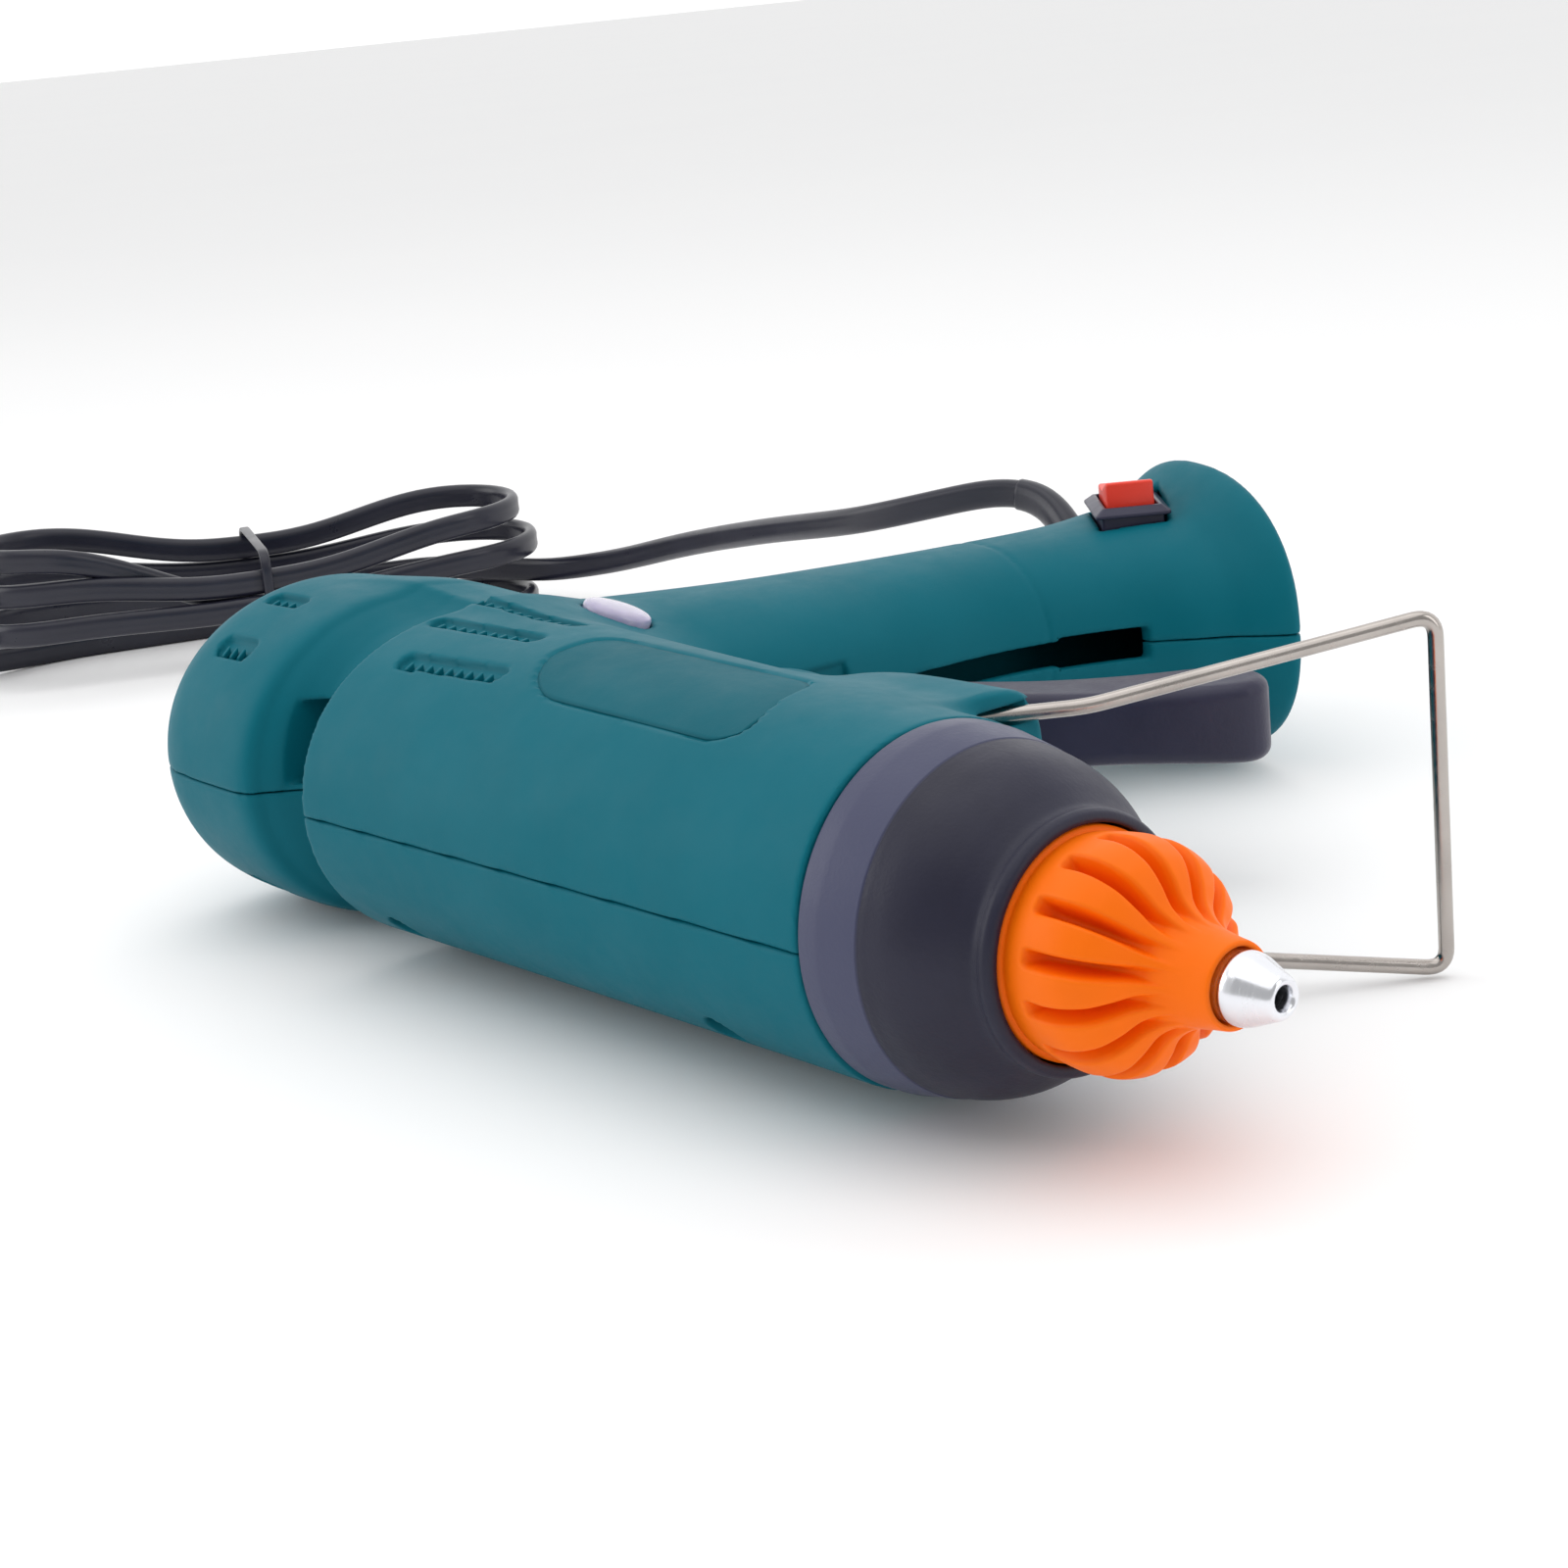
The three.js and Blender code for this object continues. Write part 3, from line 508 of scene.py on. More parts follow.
def make_cord():
    route = cord_route()
    along = lengths_along(route)
    cord_path = route[int(np.searchsorted(along, CORD_HIDDEN)):-3]
    cord = skin("mains_cord", upright_sections(cord_path, [twin_outline()] * len(cord_path)))
    finish_piece(cord, cord_black, ("cord_lead", "cord_hank", "cord_tail"))

    # Strain relief: a plain tapered boot that follows the cord
    step = 0.5
    boot_path = resampled(route[:int(np.searchsorted(along, BOOT_LENGTH))], step)
    outlines = []
    for i in range(len(boot_path)):
        tapered = min(1.0, max(0.0, (i * step - BOOT_STRAIGHT) / (BOOT_LENGTH - BOOT_STRAIGHT)))
        wall = 0.95 * (1 - tapered) ** 1.3 + 0.35
        outlines.append(twin_outline(24, CORD_WIDTH + 2 * wall, CORD_THICK + 2 * wall + 0.6, 0.0))
    relief = skin("cord_sleeve", upright_sections(boot_path, outlines))
    finish_piece(relief, cord_black, ("strain_relief",))

    # Tie: a flat strap round the hank's middle
    strap = []
    half_y, low, high = 24.6, FLOOR_Z + 0.35, -0.6
    loop = rounded_profile([(-half_y, low), (half_y, low), (half_y, high), (-half_y, high)], 6, 9)
    section = rounded_profile([(-1.3, 0), (1.3, 0), (1.3, 1.4), (-1.3, 1.4)], 0.6, 4)
    middle = np.array([0, (low + high) / 2])
    for p in loop:
        inward = unit(middle - p)
        strap.append([in_hank((a, p[0] + inward[0] * b, p[1] + inward[1] * b)) for a, b in section])
    tie = skin("hank_tie", strap, wrap=True)
    finish_piece(tie, cord_black, ("cord_tie",))

    plug, pins = make_plug()


def make_plug():
    """A slim two-pin plug with a ribbed neck and a grip, lying on the floor."""
    stations = [(0.0, 4.0, 3.2), (-3, 4.6, 4.0), (-5, 5.2, 4.6), (-7, 4.8, 4.2), (-9, 5.6, 5.0), (-11, 5.2, 4.6),
                (-13, 6.6, 5.8), (-16, 12.0, 7.4), (-20, 16.4, 8.6), (-24, 17.3, 9.0), (-30, 16.8, 8.4),
                (-33, 17.2, 8.8), (-35.2, 17.0, 8.6), (-36, 16.2, 7.9)]
    rings = []
    angles = round_angles(64)
    dense = catmull(stations, 12)
    for dx, wide, tall in resampled(dense, np.ptp(dense[:, 0]) / 60):
        power = 2 + 2.2 * min(1.0, max(0.0, (-dx - 12) / 8))
        c = np.sign(np.cos(angles)) * np.abs(np.cos(angles)) ** (2 / power)
        s = np.sign(np.sin(angles)) * np.abs(np.sin(angles)) ** (2 / power)
        rings.append([in_hank((PLUG_X + dx, wide * a, PLUG_Z + tall * b)) for a, b in zip(c, s)])
    plug = skin("plug_grip", rings)
    finish_piece(plug, cord_black, ("plug_body",))
    pins = []
    for i, y in enumerate((-9.5, 9.5)):
        profile = [(-36.5, 2), (-37, 2.05), (-46, 2.05), (-46.4, 1.85), (-53.6, 1.85), (-54.6, 1.4), (-55, 0.4)]
        rings = [[in_hank((PLUG_X + dx, y + r * math.cos(a), PLUG_Z + r * math.sin(a)))
                  for a in round_angles(32)] for dx, r in profile]
        pin = skin(f"plug_prong_{i + 1}", rings)
        pins.append(finish_piece(pin, nickel, (f"plug_pin_{i + 1}",)))
    return plug, pins


make_cord()


# --- signed distance forms
def smin(a, b, k):
    h = np.clip(0.5 + 0.5 * (b - a) / k, 0, 1)
    return b * (1 - h) + a * h - k * h * (1 - h)


def smax(a, b, k):
    return -smin(-a, -b, k)


def table(stations, column):
    """A smooth lookup of one column by the first one."""
    dense = catmull([[s[0], s[column]] for s in stations], 12)
    order = np.argsort(dense[:, 0])
    return dense[order, 0], dense[order, 1]


def oval(u, v, half_u, half_v, power):
    """Distance to a superellipse, along the ray from its centre."""
    form = ((np.abs(u) / half_u) ** power + (np.abs(v) / half_v) ** power) ** (1 / power)
    form = np.maximum(form, 1e-3)
    return np.hypot(u, v) * (1 - 1 / form)


def sd_box(x, y, z, bx, by, bz):
    """Distance to a box given by its ranges."""
    centre = [(b[0] + b[1]) / 2 for b in (bx, by, bz)]
    half = [(b[1] - b[0]) / 2 for b in (bx, by, bz)]
    return np.maximum.reduce([np.abs(x - centre[0]) - half[0], np.abs(y - centre[1]) - half[1],
                              np.abs(z - centre[2]) - half[2]])


def sd_post(x, y, z, centre, radius, low, high):
    """Distance to an upright post; with (y, z, x) for (x, y, z) it's a rod along X."""
    return np.maximum(np.hypot(x - centre[0], y - centre[1]) - radius, np.maximum(low - z, z - high))


def sd_capsule(x, y, start, end, radius):
    """Distance in the XY plane to a slot with round ends."""
    dx, dy = end[0] - start[0], end[1] - start[1]
    t = np.clip(((x - start[0]) * dx + (y - start[1]) * dy) / (dx * dx + dy * dy), 0, 1)
    return np.hypot(x - start[0] - t * dx, y - start[1] - t * dy) - radius


def sd_polygon(x, y, points):
    """Distance in the XY plane to a polygon, negative inside."""
    nearest = np.full(x.shape, 1e9)
    inside = np.zeros(x.shape, bool)
    for i, (bx, by) in enumerate(points):
        ax, ay = points[i - 1]
        ex, ey = bx - ax, by - ay
        t = np.clip(((x - ax) * ex + (y - ay) * ey) / (ex * ex + ey * ey + 1e-12), 0, 1)
        nearest = np.minimum(nearest, (x - ax - t * ex) ** 2 + (y - ay - t * ey) ** 2)
        crosses = ((ay > y) != (by > y)) & (x < ex * (y - ay) / (ey if abs(ey) > 1e-9 else 1e-9) + ax)
        inside ^= crosses
    return np.where(inside, -1, 1) * np.sqrt(nearest)


def sd_slanted(x, y, z, start, axis, radius, low, high):
    """Distance to a rod along any axis, from low to high as measured from start."""
    px, py, pz = x - start[0], y - start[1], z - start[2]
    s = px * axis[0] + py * axis[1] + pz * axis[2]
    r = np.sqrt(np.maximum(px * px + py * py + pz * pz - s * s, 0))
    return np.maximum(r - radius, np.maximum(low - s, s - high))


def sd_switch(x, y, z, wide, long, low, high):
    """Distance to a block in the switch's own directions."""
    c, s = math.cos(SWITCH_YAW), math.sin(SWITCH_YAW)
    a = (x - SWITCH_CENTRE[0]) * c + (y - SWITCH_CENTRE[1]) * s
    b = -(x - SWITCH_CENTRE[0]) * s + (y - SWITCH_CENTRE[1]) * c
    return np.maximum.reduce([np.abs(a) - wide / 2, np.abs(b) - long / 2, low - z, z - high])


REAR = [(TAIL_END, 26, 22), (-189, 30.5, 26), (-184, 33.5, 29), (-176, 35, 30.45), (-155, 35.2, 30.3),
        (-150, 31.5, 28.6), (-145.5, 26.5, 26.8), (-141, 24.2, 25.8), (-129, 24, 25), (-120, 24, 25)]
HANDLE = [(18, -144, 0, 34, 25.6), (36, -138, 0, 34, 22.8), (66, -132, 2, 28, 20.8), (90, -129, 5, 25, 19.6),
          (115, -124, 10, 23, 19.2), (138, -117.5, 15, 26, 19.4), (151, -113.3, 18.7, 31.5, 20.6),
          (157, -110.8, 20, 33.8, 21.2), (161, -109.2, 21, 36.4, 23.6), (165, -107.4, 21, 39, 27.4),
          (167.5, -106.4, 21, 40, 28.6), (169.5, -105.7, 21, 39.6, 28.1)]
CHIN = [(-62, 26, 16), (-54, 31.5, 21.5), (-40, 34.2, 24.2), (-14, 35, 24.6)]
CRADLE = [(22, 15, 13.5), (40, 14, 13), (50, 13, 12.5), (54, 10, 10.5)]
TABLES = {name: [table(rows, c) for c in range(1, len(rows[0]))]
          for name, rows in (("rear", REAR), ("handle", HANDLE), ("chin", CHIN), ("cradle", CRADLE))}


def look(name, column, value):
    return np.interp(value, *TABLES[name][column])


def barrel_side(x, y, z):
    t = np.clip(x / BARREL_REAR, 0, 1)
    rise = RIM_R + 5.5 * t ** 1.2 + 3 * t
    return oval(y - 3 * t, z, rise, RIM_R + 1.7 * t, 2.1)


def rear_side(x, y, z):
    rise = np.where(y < 3, look("rear", 0, x), 34)
    return oval(y - 3, z, rise, look("rear", 1, x), 2.05)


def along_handle(x, y):
    """How far down the handle a point is, and how far it is towards the handle's front."""
    s = np.clip(y, 0, 190)
    for _ in range(3):
        lean = np.radians(look("handle", 1, s))
        off = (x - look("handle", 0, s)) * np.sin(lean) + (y - s) * np.cos(lean)
        s = s + off * np.cos(lean)
    lean = np.radians(look("handle", 1, s))
    forward = (x - look("handle", 0, s)) * np.cos(lean) - (y - s) * np.sin(lean)
    return s, forward


def body_forms(x, y, z, inset):
    """The gun's outer form, or its hollow, as one distance, with soft blends where its parts meet."""
    barrel = barrel_side(x, y, z) + inset
    barrel = smax(barrel, BARREL_REAR + inset - x, 0.9)
    if not inset:
        barrel = smax(barrel, x + 0.3, 0.5)
    rear = rear_side(x, y, z) + inset
    rear = smax(rear, TAIL_END + inset - x, 5.0)
    rear = np.maximum(rear, x + 122)
    s, forward = along_handle(x, y)
    grip = oval(forward, z, look("handle", 2, s), look("handle", 3, s), 2.3) + inset
    end_lean = math.radians(21)
    end = (x + 107.3) * math.sin(end_lean) + (y - 169.5) * math.cos(end_lean) + inset
    grip = np.maximum(smax(grip, end, 2.6), 14 - y)
    chin = oval(y - 8, z, np.where(y > 8, look("chin", 0, x) - 8, 16), look("chin", 1, x), 7) + inset
    chin = smax(chin, np.maximum(-62 + inset - x, x + 14 + inset), 1.6)
    cradle = oval(x + 94, z, look("cradle", 0, y), look("cradle", 1, y), 3) + inset
    cradle = smax(cradle, np.maximum(22 - y, y - 54 + inset), 3.0)
    whole = smin(barrel, rear, 0.8)
    whole = smin(whole, grip, 13.0)
    whole = smin(whole, chin, 4.0)
    return smin(whole, cradle, 3.0), s, forward


def skin_height(x, y, side):
    """Height of the outer skin over each (x, y), by bisection."""
    low, high = np.full(x.shape, 5.0), np.full(x.shape, 34.0)
    for _ in range(22):
        middle = (low + high) / 2
        inside = body_forms(x, y, middle * side, 0)[0] < 0
        low, high = np.where(inside, middle, low), np.where(inside, high, middle)
    return low


def lens_frame():
    """The lens's centre on the outer skin, and the skin's mean direction round it."""
    x = LENS[0] + np.array([0, 5, -5, 0, 0.0])
    y = LENS[1] + np.array([0, 0, 0, 5, -5.0])
    h = skin_height(x, y, 1)
    up = unit([(h[2] - h[1]) / 10, (h[4] - h[3]) / 10, 1])
    return np.array([*LENS, h.mean()]), up


def shells(x, y, z):
    """Both shells as one distance, still joined at z = 0."""
    outer, s, forward = body_forms(x, y, z, 0)
    hollow, _, _ = body_forms(x, y, z, WALL)
    seam = 0.14 * np.exp(-(z / 0.4) ** 2)
    band = 0.28 * np.exp(-((s - 121) / 0.55) ** 2) * (np.abs(outer) < 3) * (y > 60)
    skin_d = outer + seam + band
    form = np.maximum(skin_d, -hollow)

    # Ribs and bosses
    cord_way = (CORD_EXIT, unit(CORD_OUT))
    inner = np.minimum.reduce([
        np.maximum(7.9 - np.hypot(y, z), np.minimum.reduce([np.abs(x - c - 1.25) - 1.25
                                                            for c in (-187, -150, -124)])),
        np.maximum(9.9 - np.hypot(y, z), np.minimum.reduce([np.abs(x - c - 1.25) - 1.25 for c in (-63, -22)])),
        sd_switch(x, y, z, 19, 26, 8, SWITCH_Z),
        sd_slanted(x, y, z, *cord_way, 7, -8, 10),
    ])
    for a, b in SCREWS:
        inner = np.minimum(inner, sd_post(x, y, z, (a, b), 3.9, -32, 32))
    side = np.abs(z)
    inner = np.minimum(inner, sd_box(x, y, side, (-126, -76), (-4, 4), (11.2, 27)))
    inner = np.minimum(inner, sd_box(x, y, side, (-26, -15), (20, 33), (12.5, 23)))
    inner = np.minimum(inner, sd_post(x, y, side, TRIGGER_PIVOT, 5.5, TRIGGER_HALF + 0.9, 13))
    form = np.minimum(form, np.maximum(inner, skin_d))

    # Openings
    slot = sd_polygon(x, y, [(-114, 84), (-98, 84), (-90, 110), (-80, 134.5), (-108, 134.5)])
    cuts = [
        # Stick channel and collar
        sd_post(y, z, x, (0, 0), 7.9, TAIL_END - 5, -120),
        sd_post(y, z, x, (0, 0), 12, -12, 8),
        # Switch and cord
        sd_switch(x, y, z, 16, 22, SWITCH_Z, 40),
        sd_switch(x, y, z, 13.6, 19.6, 0, 30),
        sd_slanted(x, y, z, *cord_way, 4.9, -20, 30),
        sd_slanted(x, y, z, *cord_way, 6.4, 0.4, 3.2),
        # Trigger, its arm, the slot in the handle and the room inside
        sd_box(x, y, z, (-106, -70), (37, 70), (-TRIGGER_HALF - 0.6, TRIGGER_HALF + 0.6)),
        sd_box(x, y, z, (-106, -82), (6, 40), (-6.5, 6.5)),
        np.maximum(slot, side - np.where(y > 118, 3.1, 2.4)),
        sd_box(x, y, z, (-70, -10), (7, 18.5), (-6, 6)),
        sd_box(x, y, z, (-56, -40), (-15.5, -8), (-7.4, 7.4)),
        sd_box(x, y, z, (-66, -58), (10, 24), (-19, 19)),
        # Lens and neck windows
        sd_slanted(x, y, z, *lens_frame(), LENS_R + 0.25, -2.1, 40),
        sd_post(x, y, z, LENS, 3.4, 10, 40),
        sd_box(x, y, z, (-148, -129.7), (-36, -6), (1.0, 15.5)),
        sd_box(x, y, z, (-143, -129.7), (-36, -6), (-15.5, -1.0)),
        # Wire stand and trigger pin
        np.maximum(sd_polygon(x, y, [(-22, 20.6), (-22, 25.4), (-19.6, 27.4), (-9, 42.5), (-8, 20.6)]),
                   np.abs(side - LEG_Z) - 1.65),
        sd_post(x, y, side, BAIL_PIVOT, 1.7, 13, LEG_Z),
        sd_post(x, y, side, TRIGGER_PIVOT, 2.2, 0, 12),
    ]
    for a, b in SCREWS:
        cuts.append(sd_post(x, y, z, (a, b), 1.5, -12, 14))
        cuts.append(sd_post(x, y, z, (a, b), 3.2, -40, -9))
    engraved = []
    for a, b in VENTS:
        recess = np.maximum(sd_capsule(x, y, a, b, VENT_HALF), -(outer + VENT_DEPTH))
        engraved.append(np.maximum(recess, 8 - side))
    field = np.maximum(sd_polygon(x, y, rounded_profile(NAME_FIELD, 3.5, 5)), -(outer + 0.6))
    engraved.append(np.maximum(field, 10 - z))
    for cut in cuts:
        form = smax(form, -cut, 0.35)
    for cut in engraved:
        form = np.maximum(form, -cut)
    return np.maximum(form, FLOOR_Z - z)


def surface_nets(values, origin, step):
    """Vertices and quads of the zero surface of a dense grid of distances."""
    inside = values < 0
    cells = tuple(n - 1 for n in values.shape)
    corners = [(i, j, k) for i in (0, 1) for j in (0, 1) for k in (0, 1)]
    count = np.zeros(cells, np.uint8)
    for i, j, k in corners:
        count += inside[i:i + cells[0], j:j + cells[1], k:k + cells[2]]
    active = np.argwhere((count > 0) & (count < 8))
    total = np.zeros((len(active), 3))
    hits = np.zeros(len(active))
    for a in corners:
        for axis in range(3):
            if a[axis]:
                continue
            b = list(a)
            b[axis] = 1
            va = values[tuple((active + a).T)]
            vb = values[tuple((active + b).T)]
            cross = (va < 0) != (vb < 0)
            t = np.where(cross, va / np.where(cross, va - vb, 1), 0)
            point = np.tile(np.array(a, float), (len(active), 1))
            point[:, axis] += t
            total[cross] += point[cross]
            hits += cross
    verts = (active + total / hits[:, None]) * step + origin
    index = np.full(cells, -1, np.int32)
    index[tuple(active.T)] = np.arange(len(active))
    quads = []
    for axis in range(3):
        first = [slice(None)] * 3
        second = [slice(None)] * 3
        first[axis], second[axis] = slice(0, -1), slice(1, None)
        change = inside[tuple(first)] != inside[tuple(second)]
        edges = np.argwhere(change)
        b, c = [(1, 2), (2, 0), (0, 1)][axis]
        ok = (edges[:, b] > 0) & (edges[:, c] > 0)
        ok &= (edges[:, b] < cells[b]) & (edges[:, c] < cells[c])
        edges = edges[ok]
        ring = []
        for db, dc in ((0, 0), (1, 0), (1, 1), (0, 1)):
            cell = edges.copy()
            cell[:, b] -= db
            cell[:, c] -= dc
            ring.append(index[tuple(cell.T)])
        ring = np.stack(ring, 1)
        starts_inside = inside[tuple(edges.T)]
        ring[starts_inside] = ring[starts_inside][:, ::-1]
        quads.append(ring[:, ::-1])
    return verts, np.concatenate(quads)


def sampled(function, low, high, step, coarse=4, reach=1.44):
    """A dense grid of distances, exact near the surface and coarse elsewhere."""
    shape = [int(math.ceil((high[i] - low[i]) / step / coarse)) * coarse for i in range(3)]
    rough = [low[i] + (np.arange(shape[i] // coarse) + 0.5) * step * coarse - step / 2 for i in range(3)]
    grid = np.meshgrid(*rough, indexing="ij")
    values = function(*grid).astype(np.float32)
    for axis in range(3):
        values = np.repeat(values, coarse, axis)
    near = np.abs(values) < reach * step * coarse
    places = np.nonzero(near)
    points = [low[i] + places[i] * step for i in range(3)]
    chunk = 1_000_000
    fine = np.concatenate([function(*(p[i:i + chunk] for p in points))
                           for i in range(0, len(points[0]), chunk)])
    values[near] = fine
    return values


def mesh_from_arrays(name, verts, quads):
    mesh = bpy.data.meshes.new(name)
    placed = ((verts + np.array(OFFSET)) / 1000).astype(np.float32)
    used, back = np.unique(quads, return_inverse=True)
    placed, quads = placed[used], back.reshape(quads.shape).astype(np.int32)
    mesh.vertices.add(len(placed))
    mesh.vertices.foreach_set("co", placed.ravel())
    mesh.loops.add(quads.size)
    mesh.loops.foreach_set("vertex_index", quads.ravel())
    mesh.polygons.add(len(quads))
    mesh.polygons.foreach_set("loop_start", np.arange(0, quads.size, 4, dtype=np.int32))
    mesh.polygons.foreach_set("loop_total", np.full(len(quads), 4, np.int32))
    mesh.update(calc_edges=True)
    return linked(name, mesh)


def largest_part(verts, quads):
    """The quads of the biggest connected part."""
    parent = np.arange(len(verts))
    edges = np.concatenate([quads[:, [0, 1]], quads[:, [1, 2]], quads[:, [2, 3]]])
    while True:
        low = np.minimum(parent[edges[:, 0]], parent[edges[:, 1]])
        before = parent.copy()
        np.minimum.at(parent, edges[:, 0], low)
        np.minimum.at(parent, edges[:, 1], low)
        parent = parent[parent]
        if np.array_equal(before, parent):
            break
    labels = parent[quads[:, 0]]
    names, counts = np.unique(labels, return_counts=True)
    return quads[labels == names[counts.argmax()]]


def net_piece(name, values, low, step):
    """The largest part of a grid's zero surface as an object."""
    verts, quads = surface_nets(values, np.array(low), step)
    return mesh_from_arrays(name, verts, largest_part(verts, quads))


def make_shells():
    step = VOXEL
    low = (TAIL_END - 3, -37, -step * 52 + step / 2)
    values = sampled(shells, low, (4, 189, 33.5), step)
    heights = low[2] + np.arange(values.shape[2]) * step
    for name, node, side in (("shell_left", "left_shell", 1), ("shell_right", "right_shell", -1)):
        half = np.maximum(values, (0.07 - side * heights)[None, None, :].astype(np.float32))
        finish_piece(net_piece(name, half, low, step), teal, (node,))


make_shells()


# --- vents
def make_vents():
    """Short fins on each vent's floor, along its lower edge."""
    for side in (1, -1):
        for n, (a, b) in enumerate(VENTS):
            verts, faces = [], []
            length = math.dist(a, b)
            direction = unit(np.subtract(b, a))
            across = np.array([-direction[1], direction[0]])
            count = max(2, int(length / 2.7))
            for i in range(count):
                s = (i + 0.5) * length / count
                base = np.array(a) + direction * s
                fin = []
                for u, v in ((-0.4, -1.8), (0.4, -1.8), (0.4, -0.1), (-0.4, -0.1)):
                    q = base + direction * u + across * v
                    fin.append((q[0], q[1], skin_height(q[:1], q[1:], side)[0]))
                start = len(verts)
                for drop in (VENT_DEPTH + 0.3, 0.25):
                    verts.extend((x, y, side * (z - drop)) for x, y, z in fin)
                faces.append(tuple(start + k for k in range(4)))
                faces.append(tuple(start + 4 + k for k in range(4)))
                faces.extend((start + k, start + (k + 1) % 4, start + 4 + (k + 1) % 4, start + 4 + k)
                             for k in range(4))
            fins = outward(mesh_object(f"vent_fins_{'left' if side > 0 else 'right'}_{n + 1}", verts, faces))
            bevel = fins.modifiers.new("edges", "BEVEL")
            bevel.width = 0.0002
            bevel.segments = 2
            finish_piece(fins, teal, smooth=False)


make_vents()


def make_plate():
    """A blank plate in the recess on the left side."""
    outline = np.array(rounded_profile(NAME_FIELD, 3.5, 6))
    columns, lines = 70, 26
    xs = np.linspace(outline[:, 0].min() + 0.45, outline[:, 0].max() - 0.45, columns)
    grid = []
    for x in xs:
        hits = []
        for i in range(len(outline)):
            a, b = outline[i - 1], outline[i]
            if (a[0] - x) * (b[0] - x) <= 0 and a[0] != b[0]:
                hits.append(a[1] + (x - a[0]) / (b[0] - a[0]) * (b[1] - a[1]))
        low, high = min(hits) + 0.45, max(hits) - 0.45
        grid.append([(x, low + (high - low) * j / (lines - 1)) for j in range(lines)])
    grid = np.array(grid).reshape(-1, 2)
    top = skin_height(grid[:, 0], grid[:, 1], 1) - 0.4
    verts = np.column_stack([grid, top])
    faces = [(i * lines + j, (i + 1) * lines + j, (i + 1) * lines + j + 1, i * lines + j + 1)
             for i in range(columns - 1) for j in range(lines - 1)]
    plate = mesh_object("blank_plate", verts, faces)
    thick = plate.modifiers.new("thickness", "SOLIDIFY")
    thick.thickness = 0.00035
    thick.offset = -1
    finish_piece(plate, teal_dark)


make_plate()


# --- nose
def make_nose():
    dome = catmull([(12, 25.9), (16, 25.1), (19.5, 23.8), (22.5, 22), (24.8, 20.2), (26.4, 19.1),
                    (27.6, 18.9)], 5)
    collar = lathe("collar", [
        (-8, 22.6), (-8, 24.4), (-0.1, 24.4), (0, 27.5), (4, 27.4), (10.8, 26.2), (11.0, 26.0), *dome,
        (28.8, 19.1), (29.8, 18.6), (30.1, 17.8), (29.9, 17.1), (25.6, 17.1), (25.6, 14.2), (22.5, 14.2),
        (22.5, 19), (16, 22), (8, 22.6)], 144, 0.5, steps=5)
    finish_piece(collar, collar_grey, ("nose_collar",))

    # Nozzle cover: a bell with flutes that run out along its neck
    bell = catmull([(29.7, 15.9), (31.5, 16.2), (34.5, 16.6), (37.5, 16.8), (40, 16.5), (42, 15.8), (44, 14.6),
                    (45.8, 12.4), (47.6, 9.4), (50.5, 7.4), (54, 6.55), (57, 6.15), (57.5, 5.95)], 9)
    core_x = [26, 33.5, 39, 45, 50, 54, 58]
    core_r = [14.2, 13.3, 10.8, 8.2, 6.8, 6.4, 6.3]
    flutes, half_width, start_x = 14, 1.0, 34.3
    angles = round_angles(flutes * 30)
    pitch = 2 * math.pi / flutes
    off = (angles + pitch / 2) % pitch - pitch / 2
    inside = [(57.5, 5.35), (52, 5.35), (44, 5.35), (35.8, 5.35), (34, 9.3), (30, 9.5), (26, 9.5)]
    back = [(26, 12.5), (26, 16.7), (28, 16.75), (29.5, 16.7), (29.65, 16.0)]
    rings = [hoop(x, r, angles) for x, r in inside + back]
    for x, r in bell:
        core = np.interp(x, core_x, core_r)
        depth = max(0.0, r - core)
        sideways = np.abs(off) * r
        cross = 1 / (1 + np.exp((sideways - half_width) / 0.12))
        entry = 1 / (1 + math.exp(-(x - start_x) / 0.22))
        run_out = min(1.0, max(0.0, (53.5 - x) / 6))
        radius = r - depth * cross * entry * run_out
        rings.append(hoop(x, radius, angles + pitch / 2))
    cover = skin("silicone_cover", rings, wrap=True)
    finish_piece(cover, orange, ("nozzle_cover",))

    nozzle = lathe("nozzle_tip", [
        (26.7, 2.2), (26.7, 6.2), (27.4, 7.0), (31.8, 7.0), (32.5, 6.2), (33, 4.9), (58.2, 4.9), (58.8, 5.15),
        (59.6, 5.1), (60.6, 4.85), (64.4, 3.35), (65.3, 2.95), (65.7, 2.5), (65.6, 1.9), (64.6, 1.5),
        (58, 1.4), (54, 2.2)], 96, 0.3, steps=4)
    finish_piece(nozzle, turned_aluminium, ("nozzle",))

    guide = lathe("stick_guide", [(TAIL_END + 0.4, 6.9), (TAIL_END + 1.2, 6.25), (-121, 6.2), (-120, 6.5),
                                  (-120, 7.6), (TAIL_END + 0.4, 7.6)], 72, 0.25)
    finish_piece(guide, trim_grey, ("guide_tube",))


make_nose()


